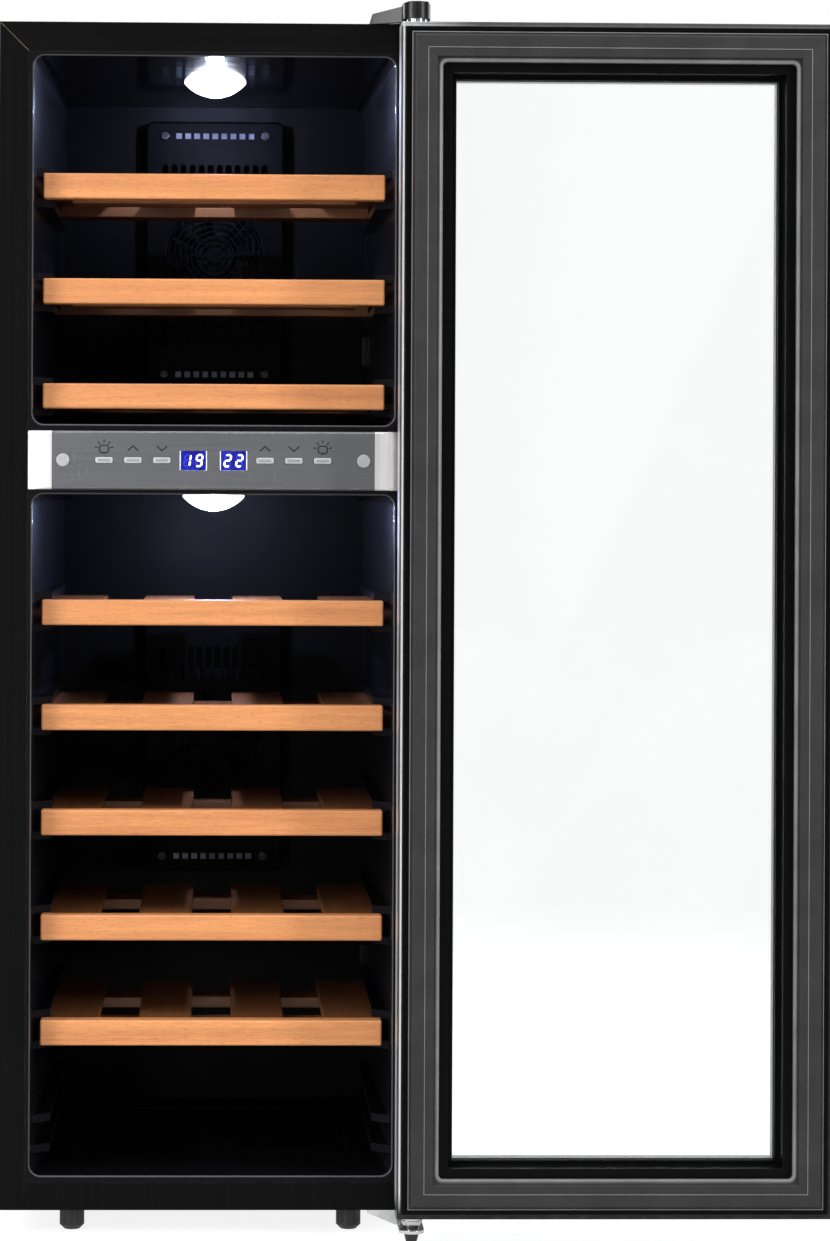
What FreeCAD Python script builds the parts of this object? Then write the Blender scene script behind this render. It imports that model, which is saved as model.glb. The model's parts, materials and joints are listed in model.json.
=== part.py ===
import FreeCAD, Part
import math
import os

# Slim two-zone wine cooler, cooled by two thermoelectric modules. Millimetres.
# The origin is on the floor under the middle of the cabinet. +X is to the right, +Y to the
# back and +Z up. The door is built closed and then swung open about its hinge axis.

# ---------------------------------------------------------------- cabinet
cabinet_width = 345.0
cabinet_depth = 460.0
foot_height = 21.0          # floor to the underside of the base pan
sheet = 0.8                 # steel sheet of wrapper, base pan and back panel
flange_width = 23.5         # the wrapper's front return flange
rail_height = 22.0          # the base pan's front upstand
pan_side = 9.0              # the base pan's side and rear upstands
seam = 0.2                  # gap between neighbouring fixed panels
mitre_gap = 0.5             # saw-thin slit at the wrapper's two top corners

# ---------------------------------------------------------------- liners and shelves
liner_wall = 2.5
lip_side = 4.0              # liner flange that shows beside an opening
lip_top = 3.5               # above the upper opening
lip_bottom = 5.5            # below the lower opening
lip_panel_low = 4.0         # between the lower opening and the control panel
lip_panel_high = 5.3        # between the control panel and the upper opening
lip_round = 1.8             # rounding of an opening's front edge
cavity_taper = 9.0          # each side wall leans in by this much towards the back
corner_front = 9.0
corner_back = 15.0
rear_room = 80.0            # back insulation and the hot compartment
shelf_pitch = 84.8
upper_shelves = 3
lower_shelves = 5
upper_head = 102.6          # ceiling to the middle of the zone's top shelf
lower_head = 95.3
upper_foot = 23.1           # middle of the zone's bottom shelf to its floor
spare_foot = 26.7           # middle of the spare runner under the bottom shelf to the lower floor
floor_recess = 1.2          # shallow drip recess in the lower floor
recess_start = 86.0
recess_inset = 31.0
recess_round = 1.0

groove_height = 18.0        # the gap between the two ribs of a runner
rib_height = 6.5
rib_reach = 14.0            # from the opening's edge to a rib's inner edge
rib_nose = 12.0             # sloping front end of a rib
rib_end_gap = 50.0          # from the rib's rear end to the back wall
rib_tail = 6.0              # length of a rib's sloping rear end
rib_tail_step = 4.0         # how far that end draws back from the rib's inner edge
runner_play = 0.4           # front board to the ribs' front ends

board_height = 20.5
board_thickness = 18.0
board_setback = 20.0        # cabinet front to the front board
board_side_gap = 7.0        # opening's edge to the front board's end
board_round = 1.6
slat_width = 43.0
slat_thickness = 7.0
slat_drop = 3.4             # front board's top to the slats' top
slat_side_gap = 10.0        # opening's edge to the outer slat's edge
slat_count = 4
slat_round = 0.8
batten_thickness = 8.7
batten_width = 42.0
front_batten_start = 63.0   # front board's face to the front batten
front_batten_inset = 18.0   # outer slat's edge to the front batten's end
rear_batten_inset = 2.0
rear_batten_gap = 20.0      # rear batten to the slats' rear ends
shelf_rear_gap = 88.0       # slats' rear ends to the back wall

# ---------------------------------------------------------------- control panel
panel_height = 46.9
panel_proud = 1.5           # its middle stands this far out of the cabinet front
panel_fall = 2.5            # its two ends fall back by this much
panel_end = 17.8            # width of a sloping end
panel_bulge = 0.45          # the sloping ends are slightly domed
panel_wall = 2.0
panel_bevel = 1.3
panel_depth = 9.0
pocket_room = 12.8          # circuit board's front to the foam behind it
pocket_margin = 1.0         # foam cut away over and under the panel
cap_radius = 5.25           # round screw caps
cap_height = 1.4
cap_round = 0.6
cap_inset = 28.3            # from the panel's end to a cap's centre
button_width = 13.6
button_height = 4.4
button_corner = 1.0
button_proud = 0.8
button_pitch = 23.15
button_first = 41.3         # panel's middle to the nearest button
button_play = 0.25
button_round = 0.35
button_collar = 0.9
collar_reach = 1.0          # how far the collar stands out round a button
collar_gap = 0.3            # panel's inner face to the collar
button_travel = 0.8
stem_radius = 1.4
stem_gap = 0.3              # switch to the pressed stem
window_width = 21.8
window_height = 15.7
window_offset = 16.1
window_sink = 0.1
window_corner = 1.0
window_fit = 0.1
module_depth = 5.0
module_gap = 0.5            # between a display module's usual depth and the circuit board
board_thick = 1.6
board_end_gap = 30.0        # panel's end to the circuit board
board_edge_gap = 4.5
switch_size = 6.0
switch_height = 1.5
connector_x = -50.0         # the connector, chip and capacitor behind the circuit board
connector_width = 20.0
connector_height = 12.0
connector_depth = 5.0
chip_x = 37.0
chip_size = 14.0
chip_depth = 2.0
capacitor_x = 70.0
capacitor_radius = 4.0
capacitor_depth = 7.0

# ---------------------------------------------------------------- lamps, fans and cooling
lamp_radius = 26.0
lamp_rim = 1.6
lamp_drop = 13.5
lamp_wall = 1.4
lamp_depth = 178.0          # cabinet front to the lamp's middle
lamp_hole = 20.0
lamp_pocket = 8.0
lamp_board_gap = 1.0        # between the lamp's board and its hole
led_radius = 2.5
led_height = 1.6
led_pitch = 8.0

cover_width = 124.0
cover_height = 240.0
cover_depth = 30.0
cover_wall = 2.5
cover_corner = 7.0
cover_edge_round = 2.0
upper_fan_drop = 136.0      # ceiling to the fan's middle
lower_fan_drop = 217.0
vent_pitch = 8.1
vent_square = 5.2
vent_bar = 3.1              # solid bar between two slots
vent_columns = 9
slot_columns = 12
slot_gap = 6.0              # fan guard to the slots
vent_row_inset = 13.0       # cover's end to the row of square vents
slot_length = 30.0
screw_side = 45.0
screw_post = 5.0
guard_radius = 45.0
guard_pitch = 5.0
guard_bar = 1.5
guard_hub = 7.0
guard_spokes = 8

fan_size = 92.0
fan_corner = 5.0
fan_hole_inset = 5.5
strut_width = 4.0
rotor_front_gap = 0.6
rotor_back_gap = 0.4
blade_chord = 24.0          # the widest a blade gets
fan_bore = 43.5
fan_tip_gap = 1.3
fan_hub = 18.0
fan_shaft = 1.5
shaft_play = 0.05
fan_blades = 7
blade_thickness = 1.4
blade_angle = 38.0
cold_fan_depth = 10.0
hot_fan_depth = 25.0
fan_back = 2.0              # thickness of a fan frame's rear struts
cold_fin = 11.8
cold_base = 4.0
module_size = 40.0
module_thickness = 3.8
block_gap = 0.5
back_foam = 23.0            # insulation between the cold plate and the module
foam_gap = 3.0              # base pan's upstand to the insulation
hot_base = 5.0
hot_fin = 20.0
fin_pitch = 6.0
fin_thickness = 1.2
sink_width = 100.0
cold_sink_height = 120.0
hot_sink_height = 140.0

grille_rows = 11            # rear openings before each hot fan
grille_slot = 4.4
grille_flatten = 0.85
air_slot_columns = 13       # three rows of upright slots for the warm air
air_slot_pitch = 14.0
air_slot_width = 4.0
air_slot_height = 32.0
air_slot_top = 60.0         # cabinet top to the upper row
air_slot_drop = 20.0        # door's middle to the middle row
air_slot_rise = 130.0       # pan underside to the lower row
panel_screw_inset = 12.0
panel_screw_low = 5.0
supply_left = 10.0          # power supply
supply_width = 100.0
supply_depth = 38.0
supply_height = 120.0
supply_rise = 60.0
supply_slots = 9
supply_slot_pitch = 9.0
supply_slot_width = 3.0
supply_slot_depth = 2.0
supply_slot_margin = 15.0
inlet_side = 62.0           # cabinet side to the mains inlet's middle
inlet_rise = 52.0           # pan underside to the mains inlet's middle
inlet_width = 28.0
inlet_height = 20.0
inlet_depth = 24.0
inlet_flange = 4.0
inlet_flange_thickness = 2.0
inlet_flange_round = 3.0
socket_side_wall = 3.0
socket_low_wall = 2.5
socket_depth = 16.0
socket_round = 2.0
blade_spread = 7.0          # mains inlet's middle to an outer blade
blade_width = 2.0
blade_height = 4.0
blade_sink = 3.0            # flange to the blades' tips
probe_back_gap = 28.0       # back wall to a temperature probe's middle
probe_depth = 5.0
probe_length = 20.0
probe_height = 26.0
probe_round = 1.5
probe_slot_margin = 4.0
probe_slot_height = 2.0
probe_slot_pitch = 5.0
probe_slot_depth = 1.5
upper_probe_rise = 60.0
lower_probe_rise = 75.0

# ---------------------------------------------------------------- hinges and feet
pivot_inset = 12.5          # cabinet side to the hinge axis
pin_radius = 4.0
pin_play = 0.05             # running fit of the pins in the door's bushes
pin_reach = 18.0            # length of pin inside a bush
bush_radius = 7.0
bush_length = 22.0
plate_thickness = 2.5
plate_half = 9.0
plate_back = 62.0
arm_step = 3.0              # where an arm narrows, before and behind the cabinet front
hinge_screw_spread = 22.0   # hinge axis to the outer screw of a hinge's front pair
hinge_screw_front = 22.0    # cabinet front to that pair
hinge_screw_rear = 46.0     # cabinet front to the third screw
cover_skin = 1.6
cover_low = 8.0             # height of the hinge cover's outer end
cover_high = 13.5
cover_left = 34.0           # hinge axis to the hinge cover's left end
cover_round = 11.0
cover_tail = 12.0           # how far the cover reaches behind the plate
cover_flat = 6.0            # hinge axis to the start of the cover's slope
cover_bevel = 2.0
cover_step = 12.0           # cabinet front to where the cover widens
screw_radius = 2.0
screw_head = 4.0
screw_head_height = 2.2
screw_length = 9.0
screw_round = 0.8
screw_cross = 2.6           # half the length of the cross in a screw's head
screw_cross_width = 1.0
screw_cross_depth = 1.1
foot_radius = 10.0
foot_bevel = 3.5
foot_side = 60.5            # cabinet side to a foot's middle
foot_front = 35.0
foot_rear = 45.0
foot_gap = 0.3
stud_radius = 4.0
stud_length = 7.0
nut_height = 6.0
nut_half = 9.0
flute_count = 12
flute_radius = 1.1
flute_out = 0.5             # foot's side to a flute's middle
flute_margin = 3.0
arm_drop = 9.5              # pan underside to the lower hinge arm's top
hinge_foot_top = 6.2
hinge_foot_bottom = 3.9
bracket_web_inset = 1.5
bracket_length = 58.0
pin_chamfer = 0.8
pin_stand = 0.8             # how far the upper pin stands out of its plate
washer_radius = 8.0
washer_gap = 0.4
dish_bottom = 5.4
dish_top = 8.6
dish_height = 7.5

# ---------------------------------------------------------------- door
door_gap = 8.0              # cabinet front to the door's inner face
door_thickness = 40.0
door_below_top = 4.0        # cabinet top to door top
door_above_base = 2.0
trim = 1.0                  # metal edge trim
trim_front_lip = 6.0
trim_back_lip = 3.6
trim_groove = 1.2           # inset and width of the groove in the rear lip
trim_groove_depth = 0.5
outer_pane_gap = 0.2
pane = 4.0
pane_space = 12.0
outer_pane_inset = 1.5      # door edge to the outer pane
glass_border = 44.0         # door edge to the clear glass
pane_overlap = 6.0
pane_fit = 0.3
spacer_width = 6.4
frame_wall = 3.0
frame_slope = 4.0
frame_ledge = 3.0
gasket_inset = 8.0
gasket_width = 24.5
gasket_base = 3.0
gasket_magnet_inset = 4.0
gasket_gap = 0.6            # between the closed gasket and the cabinet
outer_rib_inset = 1.0
outer_rib_width = 1.2
outer_rib_height = 1.0
inner_rib_inset = 2.6
inner_rib_width = 1.6
inner_rib_height = 1.4
grip_length = 140.0
grip_height = 20.0
grip_depth = 16.0
grip_wall = 3.5
grip_front = 10.0           # door's outer face to the finger pocket
corner_block = 36.0

# ---------------------------------------------------------------- worked out from the above
half_width = cabinet_width / 2
front = -cabinet_depth / 2
back = cabinet_depth / 2
base = foot_height
opening_half = half_width - flange_width - lip_side
cavity_depth = cabinet_depth - rear_room
rib_edge = opening_half - rib_reach
lower_foot = shelf_pitch + spare_foot
lower_floor = base + rail_height + lip_bottom
lower_ceiling = lower_floor + lower_foot + (lower_shelves - 1) * shelf_pitch + lower_head
panel_low = lower_ceiling + lip_panel_low
panel_high = panel_low + panel_height
upper_floor = panel_high + lip_panel_high
upper_ceiling = upper_floor + upper_foot + (upper_shelves - 1) * shelf_pitch + upper_head
top = upper_ceiling + lip_top + flange_width
panel_middle = (panel_low + panel_high) / 2
panel_half = half_width - flange_width - seam
face_half = panel_half - panel_end
face = front - panel_proud
upper_fan = upper_ceiling - upper_fan_drop
lower_fan = lower_ceiling - lower_fan_drop
fan_heights = (upper_fan, lower_fan)
cavity_back = front + cavity_depth
module_front = cavity_back + back_foam
hot_front = module_front + module_thickness
hot_fan_front = hot_front + hot_base + hot_fin
cold_sink_front = cavity_back - cold_base - cold_fin
cold_fan_front = cold_sink_front - cold_fan_depth
cover_front = cavity_back - cover_depth
board_front = front + board_setback
slat_back = cavity_back - shelf_rear_gap
pivot_forward = door_gap + door_thickness / 2
pivot_x = half_width - pivot_inset
pivot_y = front - pivot_forward
door_low = base + door_above_base
door_high = top - door_below_top
door_inner = front - door_gap
door_outer = door_inner - door_thickness
door_middle = (door_low + door_high) / 2
glass_outer = door_outer + trim + outer_pane_gap
inner_pane_outer = glass_outer + pane + pane_space
inner_pane_inner = inner_pane_outer + pane
circuit_front = face + panel_wall + module_depth + module_gap
stud_hole = stud_radius + shaft_play
screw_hole = screw_radius + shaft_play


def point(x, y, z):
    return FreeCAD.Vector(x, y, z)


def block(x0, x1, y0, y1, z0, z1):
    return Part.makeBox(x1 - x0, y1 - y0, z1 - z0, point(x0, y0, z0))


def rod(radius, start, along):
    return Part.makeCylinder(radius, along.Length, start, along)


def tube(outer, inner, start, along):
    return rod(outer, start, along).cut(rod(inner, start, along))


def prism(corners, along):
    """A straight-sided solid from a closed outline of points."""
    return Part.Face(Part.makePolygon(corners + corners[:1])).extrude(along)


def rounded_outline(x0, x1, z0, z1, radius, y):
    """A rectangle with round corners, in the plane across Y."""
    mid = radius * (1 - math.sqrt(0.5))
    corners = (
        ((x0, z0 + radius), (x0 + mid, z0 + mid), (x0 + radius, z0)),
        ((x1 - radius, z0), (x1 - mid, z0 + mid), (x1, z0 + radius)),
        ((x1, z1 - radius), (x1 - mid, z1 - mid), (x1 - radius, z1)),
        ((x0 + radius, z1), (x0 + mid, z1 - mid), (x0, z1 - radius)),
    )
    edges = []
    for number, corner in enumerate(corners):
        start, middle, end = (point(x, y, z) for x, z in corner)
        edges.append(Part.Arc(start, middle, end).toShape())
        following = corners[(number + 1) % 4][0]
        edges.append(Part.makeLine(end, point(following[0], y, following[1])))
    return Part.Wire(edges)


def rounded_block(x0, x1, z0, z1, radius, y0, y1):
    outline = rounded_outline(x0, x1, z0, z1, radius, y0)
    return Part.Face(outline).extrude(point(0, y1 - y0, 0))


def ring(half, inset, low, high, wide, y0, y1):
    """A rectangular ring: its outer edge is inset from the door's edge, its border is wide."""
    outer = block(-half + inset, half - inset, y0, y1, low + inset, high - inset)
    cut = inset + wide
    return outer.cut(block(-half + cut, half - cut, y0 - 1, y1 + 1, low + cut, high - cut))


def door_ring(inset, wide, y0, y1):
    return ring(half_width, inset, door_low, door_high, wide, y0, y1)


def joined(pieces):
    """One solid from touching or overlapping pieces."""
    return pieces[0].multiFuse(pieces[1:]).removeSplitter() if len(pieces) > 1 else pieces[0]


def spread(count, pitch):
    """Evenly spaced places about zero."""
    return [(number - (count - 1) / 2) * pitch for number in range(count)]


def edges_at(shape, test):
    return [edge for edge in shape.Edges if all(test(vertex.Point) for vertex in edge.Vertexes)]


def swung_open(shape):
    """A piece of the closed door, turned half a turn about the hinge axis."""
    turned = shape.copy()
    turned.rotate(point(pivot_x, pivot_y, 0), point(0, 0, 1), 180)
    return turned


# ---------------------------------------------------------------- cabinet pieces
def hinge_screw_places():
    """The three screws of either hinge, in plan."""
    pair = front + hinge_screw_front
    return (
        (pivot_x - hinge_screw_spread, pair),
        (pivot_x, pair),
        (pivot_x - hinge_screw_spread / 2, front + hinge_screw_rear),
    )


def back_screw_places():
    side = half_width - sheet - panel_screw_inset
    levels = (base + panel_screw_low, door_middle, top - panel_screw_inset)
    return tuple((sign * side, level) for sign in (-1, 1) for level in levels)


def cabinet_wrapper():
    shell = block(-half_width, half_width, front, back, base, top)
    inner = half_width - sheet
    shell = shell.cut(block(-inner, inner, front + sheet, back + 1, base - 1, top - sheet))
    edge = half_width - flange_width
    shell = shell.cut(block(-edge, edge, front - 1, front + sheet + 1, base - 1, top - flange_width))
    for sign in (-1, 1):
        slit = block(2 * sheet, flange_width * 1.5, front - 1, front + sheet + 0.01,
                     -mitre_gap / 2, mitre_gap / 2)
        slit.rotate(point(0, 0, 0), point(0, 1, 0), 135 if sign > 0 else 45)
        slit.translate(point(sign * half_width, 0, top))
        shell = shell.cut(slit)
    for x, y in hinge_screw_places():
        shell = shell.cut(rod(screw_hole, point(x, y, top - sheet - 1), point(0, 0, sheet + 2)))
    return shell


def foot_places():
    side = half_width - foot_side
    return tuple((sign * side, y) for y in (front + foot_front, back - foot_rear) for sign in (-1, 1))


def base_pan():
    inner = half_width - sheet - seam / 2
    rail_half = half_width - flange_width - seam
    floor_start = front + sheet + seam
    rear = back - sheet - seam
    pieces = [
        block(-rail_half, rail_half, front, front + sheet, base, base + rail_height),
        block(-rail_half, rail_half, front, floor_start, base, base + sheet),
        block(-inner, inner, floor_start, rear, base, base + sheet),
        block(-inner, inner, rear - sheet, rear, base, base + pan_side),
    ]
    for sign in (-1, 1):
        edges = sorted((sign * inner, sign * (inner - sheet)))
        pieces.append(block(edges[0], edges[1], floor_start, rear, base, base + pan_side))
    for x, y in foot_places():
        low = base + sheet
        nut = block(x - nut_half, x + nut_half, y - nut_half, y + nut_half, low, low + nut_height)
        pieces.append(nut)
    pan = joined(pieces)
    for x, y in foot_places():
        pan = pan.cut(rod(stud_hole, point(x, y, base - 1), point(0, 0, nut_height + 4)))
    for x, y in hinge_screw_places():
        pan = pan.cut(rod(screw_hole, point(x, y, base - 1), point(0, 0, 4)))
    for x, z in back_screw_places():
        pan = pan.cut(rod(screw_hole, point(x, rear - pan_side, z), point(0, pan_side + 1, 0)))
    return pan


def inlet_box(grow):
    x = -half_width + inlet_side
    z = base + inlet_rise
    wide, high = inlet_width / 2 + grow, inlet_height / 2 + grow
    return x - wide, x + wide, z - high, z + high


def back_panel():
    inner = half_width - sheet - seam / 2
    panel = block(-inner, inner, back - sheet, back, base + sheet + seam, top - sheet - seam)
    y0, y1 = back - sheet - 1, back + 1
    cuts = []
    slot = grille_slot / 2
    for level in fan_heights:
        for height in spread(grille_rows, vent_pitch):
            reach = math.sqrt(fan_bore ** 2 - height ** 2 * grille_flatten)
            z = level + height
            cuts.append(rounded_block(-reach, reach, z - slot, z + slot, slot - 0.2, y0, y1))
    wide, high = air_slot_width / 2, air_slot_height / 2
    for level in (top - air_slot_top, door_middle - air_slot_drop, base + air_slot_rise):
        for x in spread(air_slot_columns, air_slot_pitch):
            cuts.append(rounded_block(x - wide, x + wide, level - high, level + high, wide - 0.2, y0, y1))
    panel = panel.cut(cuts)
    x0, x1, z0, z1 = inlet_box(seam)
    panel = panel.cut(block(x0, x1, y0, y1, z0, z1))
    for x, z in back_screw_places():
        panel = panel.cut(rod(screw_hole, point(x, y0, z), point(0, y1 - y0, 0)))
    return panel


# ---------------------------------------------------------------- liners
def tub(low, high, grow, depth):
    """The tapering body of a zone, outwards by grow from its inner surface."""
    back_half = opening_half - cavity_taper * depth / cavity_depth
    outlines = []
    for half, radius, y in ((opening_half, corner_front, front), (back_half, corner_back, front + depth)):
        outlines.append(rounded_outline(-half - grow, half + grow, low - grow, high + grow, radius + grow, y))
    return Part.makeLoft(outlines, True, True)


def wall_x(depth):
    """Half the cavity's width at a depth behind the cabinet front."""
    return opening_half - cavity_taper * depth / cavity_depth


def runner(sign, middle):
    """The two ribs between which a shelf's edge slides."""
    start = board_setback + board_thickness + runner_play
    end = cavity_depth - rib_end_gap
    bite = liner_wall / 2
    outline = (
        (wall_x(start) + bite, start),
        (wall_x(start) - 1, start),
        (rib_edge, start + rib_nose),
        (rib_edge, end - rib_tail),
        (rib_edge + rib_tail_step, end),
        (wall_x(end) + bite, end),
    )
    ribs = []
    for low in (middle - groove_height / 2 - rib_height, middle + groove_height / 2):
        corners = [point(sign * x, front + depth, low) for x, depth in outline]
        ribs.append(prism(corners, point(0, 0, rib_height)))
    return ribs


def shelf_levels(zone):
    if zone == "upper":
        first, count = upper_ceiling - upper_head, upper_shelves
    else:
        first, count = lower_ceiling - lower_head, lower_shelves
    return [first - number * shelf_pitch for number in range(count)]


def liner(zone):
    if zone == "upper":
        low, high, fan = upper_floor, upper_ceiling, upper_fan
        lip_low, lip_high = panel_high + seam, top - flange_width
    else:
        low, high, fan = lower_floor, lower_ceiling, lower_fan
        lip_low, lip_high = base + rail_height + seam, panel_low - seam
    cavity = tub(low, high, 0, cavity_depth)
    lip = block(-panel_half, panel_half, front, front + liner_wall, lip_low, lip_high)
    body = tub(low, high, liner_wall, cavity_depth + liner_wall).fuse(lip).cut(cavity)
    opening = [
        edge for edge in edges_at(body, lambda p: abs(p.y - front) < 1e-4)
        if abs(edge.BoundBox.XMin) < opening_half + 0.01 and abs(edge.BoundBox.XMax) < opening_half + 0.01
        and edge.BoundBox.ZMin > low - 0.01 and edge.BoundBox.ZMax < high + 0.01
    ]
    body = body.makeFillet(lip_round, opening)
    levels = shelf_levels(zone)
    if zone == "lower":
        levels = levels + [levels[-1] - shelf_pitch]
        half = opening_half - recess_inset
        body = body.cut(rounded_block(-half, half, low - floor_recess, low + 1, recess_round,
                                      front + recess_start, cavity_back - rib_end_gap))
    ribs = [rib for level in levels for sign in (-1, 1) for rib in runner(sign, level)]
    body = body.fuse(ribs)
    hole = module_size / 2 + block_gap
    body = body.cut(block(-hole, hole, cavity_back - 1, cavity_back + liner_wall + 1,
                          fan - hole, fan + hole))
    return body.cut(rod(lamp_hole, point(0, front + lamp_depth, high - 1), point(0, 0, liner_wall + 2)))


def insulation_foam():
    inner = half_width - sheet
    foam = block(-inner, inner, front + sheet, hot_front, base + pan_side + foam_gap, top - sheet)
    foam = foam.cut(block(-inner, inner, front, front + liner_wall, base, top - flange_width))
    for low, high in ((lower_floor, lower_ceiling), (upper_floor, upper_ceiling)):
        foam = foam.cut(tub(low, high, liner_wall, cavity_depth + liner_wall))
        pocket = rod(lamp_hole, point(0, front + lamp_depth, high), point(0, 0, liner_wall + lamp_pocket))
        foam = foam.cut(pocket)
    pocket = block(-inner, inner, front, circuit_front + pocket_room,
                   panel_low - pocket_margin, panel_high + pocket_margin)
    foam = foam.cut(pocket)
    hole = module_size / 2 + block_gap
    for fan in fan_heights:
        foam = foam.cut(block(-hole, hole, cavity_back, hot_front + 1, fan - hole, fan + hole))
    for x, y in hinge_screw_places():
        foam = foam.cut(rod(screw_hole, point(x, y, top - 2 * screw_length), point(0, 0, 3 * screw_length)))
    return foam


# ---------------------------------------------------------------- control panel
def button_places():
    steps = [button_first + number * button_pitch for number in range(3)]
    return [-x for x in reversed(steps)] + steps


def control_bezel():
    def outline(shift):
        dome_x = face_half + panel_end / 2
        dome_y = face + panel_fall / 2 - panel_bulge + shift
        left_arc = Part.Arc(point(-panel_half, face + panel_fall + shift, panel_low),
                            point(-dome_x, dome_y, panel_low),
                            point(-face_half, face + shift, panel_low)).toShape()
        right_arc = Part.Arc(point(face_half, face + shift, panel_low),
                             point(dome_x, dome_y, panel_low),
                             point(panel_half, face + panel_fall + shift, panel_low)).toShape()
        middle = Part.makeLine(point(-face_half, face + shift, panel_low),
                               point(face_half, face + shift, panel_low))
        rear = [
            point(panel_half, face + panel_fall + shift, panel_low),
            point(panel_half, front + panel_depth, panel_low),
            point(-panel_half, front + panel_depth, panel_low),
            point(-panel_half, face + panel_fall + shift, panel_low),
        ]
        lines = [Part.makeLine(rear[i], rear[i + 1]) for i in range(3)]
        return Part.Face(Part.Wire([left_arc, middle, right_arc] + lines))

    body = outline(0).extrude(point(0, 0, panel_height))
    bevelled = [
        (face + panel_bevel, panel_low), (face, panel_low + panel_bevel),
        (face, panel_high - panel_bevel), (face + panel_bevel, panel_high),
        (front + panel_depth, panel_high), (front + panel_depth, panel_low),
    ]
    corners = [point(-panel_half - 1, y, z) for y, z in bevelled]
    body = body.common(prism(corners, point(2 * panel_half + 2, 0, 0)))
    hollow = outline(panel_wall).extrude(point(0, 0, panel_height - 2 * panel_wall))
    hollow.translate(point(0, 0, panel_wall))
    side = panel_half - panel_wall
    hollow = hollow.common(block(-side, side, front - 5, front + panel_depth + 1, panel_low, panel_high))
    body = body.cut(hollow)
    wide, high = button_width / 2 + button_play, button_height / 2 + button_play
    for x in button_places():
        body = body.cut(rounded_block(x - wide, x + wide, panel_middle - high, panel_middle + high,
                                      button_corner, face - 1, face + panel_wall + 1))
    for x in (-window_offset, window_offset):
        body = body.cut(rounded_block(x - window_width / 2, x + window_width / 2,
                                      panel_middle - window_height / 2, panel_middle + window_height / 2,
                                      window_corner, face - 1, face + panel_wall + 1))
    return body


def bezel_caps():
    caps = []
    for sign in (-1, 1):
        x = sign * (panel_half - cap_inset)
        cap = rod(cap_radius, point(x, face, panel_middle), point(0, -cap_height, 0))
        rim = edges_at(cap, lambda p: abs(p.y - face + cap_height) < 1e-4)
        caps.append(cap.makeFillet(cap_round, rim))
    return Part.makeCompound(caps)


def panel_button(x):
    """A cap that shows, a collar that holds it in, and the stem that presses its switch."""
    half_w, half_h = button_width / 2, button_height / 2
    collar_y = face + panel_wall + collar_gap
    cap = rounded_block(x - half_w, x + half_w, panel_middle - half_h, panel_middle + half_h,
                        button_corner, face - button_proud, collar_y)
    cap = cap.makeFillet(button_round, edges_at(cap, lambda p: abs(p.y - face + button_proud) < 1e-4))
    reach_w, reach_h = half_w + collar_reach, half_h + collar_reach
    collar = block(x - reach_w, x + reach_w, collar_y, collar_y + button_collar,
                   panel_middle - reach_h, panel_middle + reach_h)
    stem_start = collar_y + button_collar
    stem_end = circuit_front - switch_height - button_travel - stem_gap
    stem = rod(stem_radius, point(x, stem_start, panel_middle), point(0, stem_end - stem_start, 0))
    return joined([cap, collar, stem])


def display_windows():
    wide, high = window_width / 2 - window_fit, window_height / 2 - window_fit
    panes = []
    for x in (-window_offset, window_offset):
        panes.append(rounded_block(x - wide, x + wide, panel_middle - high, panel_middle + high,
                                   window_corner - window_fit, face + window_sink, face + panel_wall))
    return Part.makeCompound(panes)


def display_modules():
    modules = []
    for x in (-window_offset, window_offset):
        modules.append(block(x - window_width / 2, x + window_width / 2, face + panel_wall, circuit_front,
                             panel_middle - window_height / 2, panel_middle + window_height / 2))
    return Part.makeCompound(modules)


def control_board():
    half = panel_half - board_end_gap
    tall = panel_height / 2 - board_edge_gap
    board = block(-half, half, circuit_front, circuit_front + board_thick,
                  panel_middle - tall, panel_middle + tall)
    size = switch_size / 2
    switches = [block(x - size, x + size, circuit_front - switch_height, circuit_front,
                      panel_middle - size, panel_middle + size) for x in button_places()]
    rear = circuit_front + board_thick
    components = [rod(capacitor_radius, point(capacitor_x, rear, panel_middle), point(0, capacitor_depth, 0))]
    for x, wide, high, deep in ((connector_x, connector_width, connector_height, connector_depth),
                                (chip_x, chip_size, chip_size, chip_depth)):
        components.append(block(x - wide / 2, x + wide / 2, rear, rear + deep,
                                panel_middle - high / 2, panel_middle + high / 2))
    return joined([board] + switches + components)


# ---------------------------------------------------------------- lamps
def lamp_lens(ceiling):
    """A shallow dome with a flat rim, open at the top."""
    def dome(radius, drop, level):
        sphere_radius = (radius ** 2 + drop ** 2) / (2 * drop)
        centre = point(0, front + lamp_depth, level - drop + sphere_radius)
        ball = Part.makeSphere(sphere_radius, centre)
        below = point(0, front + lamp_depth, level - drop - 1)
        return ball.common(rod(radius + 1, below, point(0, 0, drop + 1)))

    rim_low = ceiling - lamp_rim
    outer = dome(lamp_radius, lamp_drop - lamp_rim, rim_low)
    inner = dome(lamp_radius - lamp_wall, lamp_drop - lamp_rim - lamp_wall, rim_low)
    centre = point(0, front + lamp_depth, rim_low)
    rim = tube(lamp_radius, lamp_radius - lamp_wall, centre, point(0, 0, lamp_rim))
    return joined([outer.cut(inner), rim])


def lamp_boards():
    boards = []
    for ceiling in (upper_ceiling, lower_ceiling):
        low = ceiling + liner_wall
        centre = point(0, front + lamp_depth, low)
        board = rod(lamp_hole - lamp_board_gap, centre, point(0, 0, board_thick))
        leds = [rod(led_radius, centre + point(x, 0, 0), point(0, 0, -led_height))
                for x in spread(3, led_pitch)]
        boards.append(joined([board] + leds))
    return Part.makeCompound(boards)


# ---------------------------------------------------------------- fans and cooling
def cover_screw_places(fan):
    rise = cover_height / 2 - vent_row_inset
    return [(sign * screw_side, fan + end * rise) for sign in (-1, 1) for end in (-1, 1)]


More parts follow.
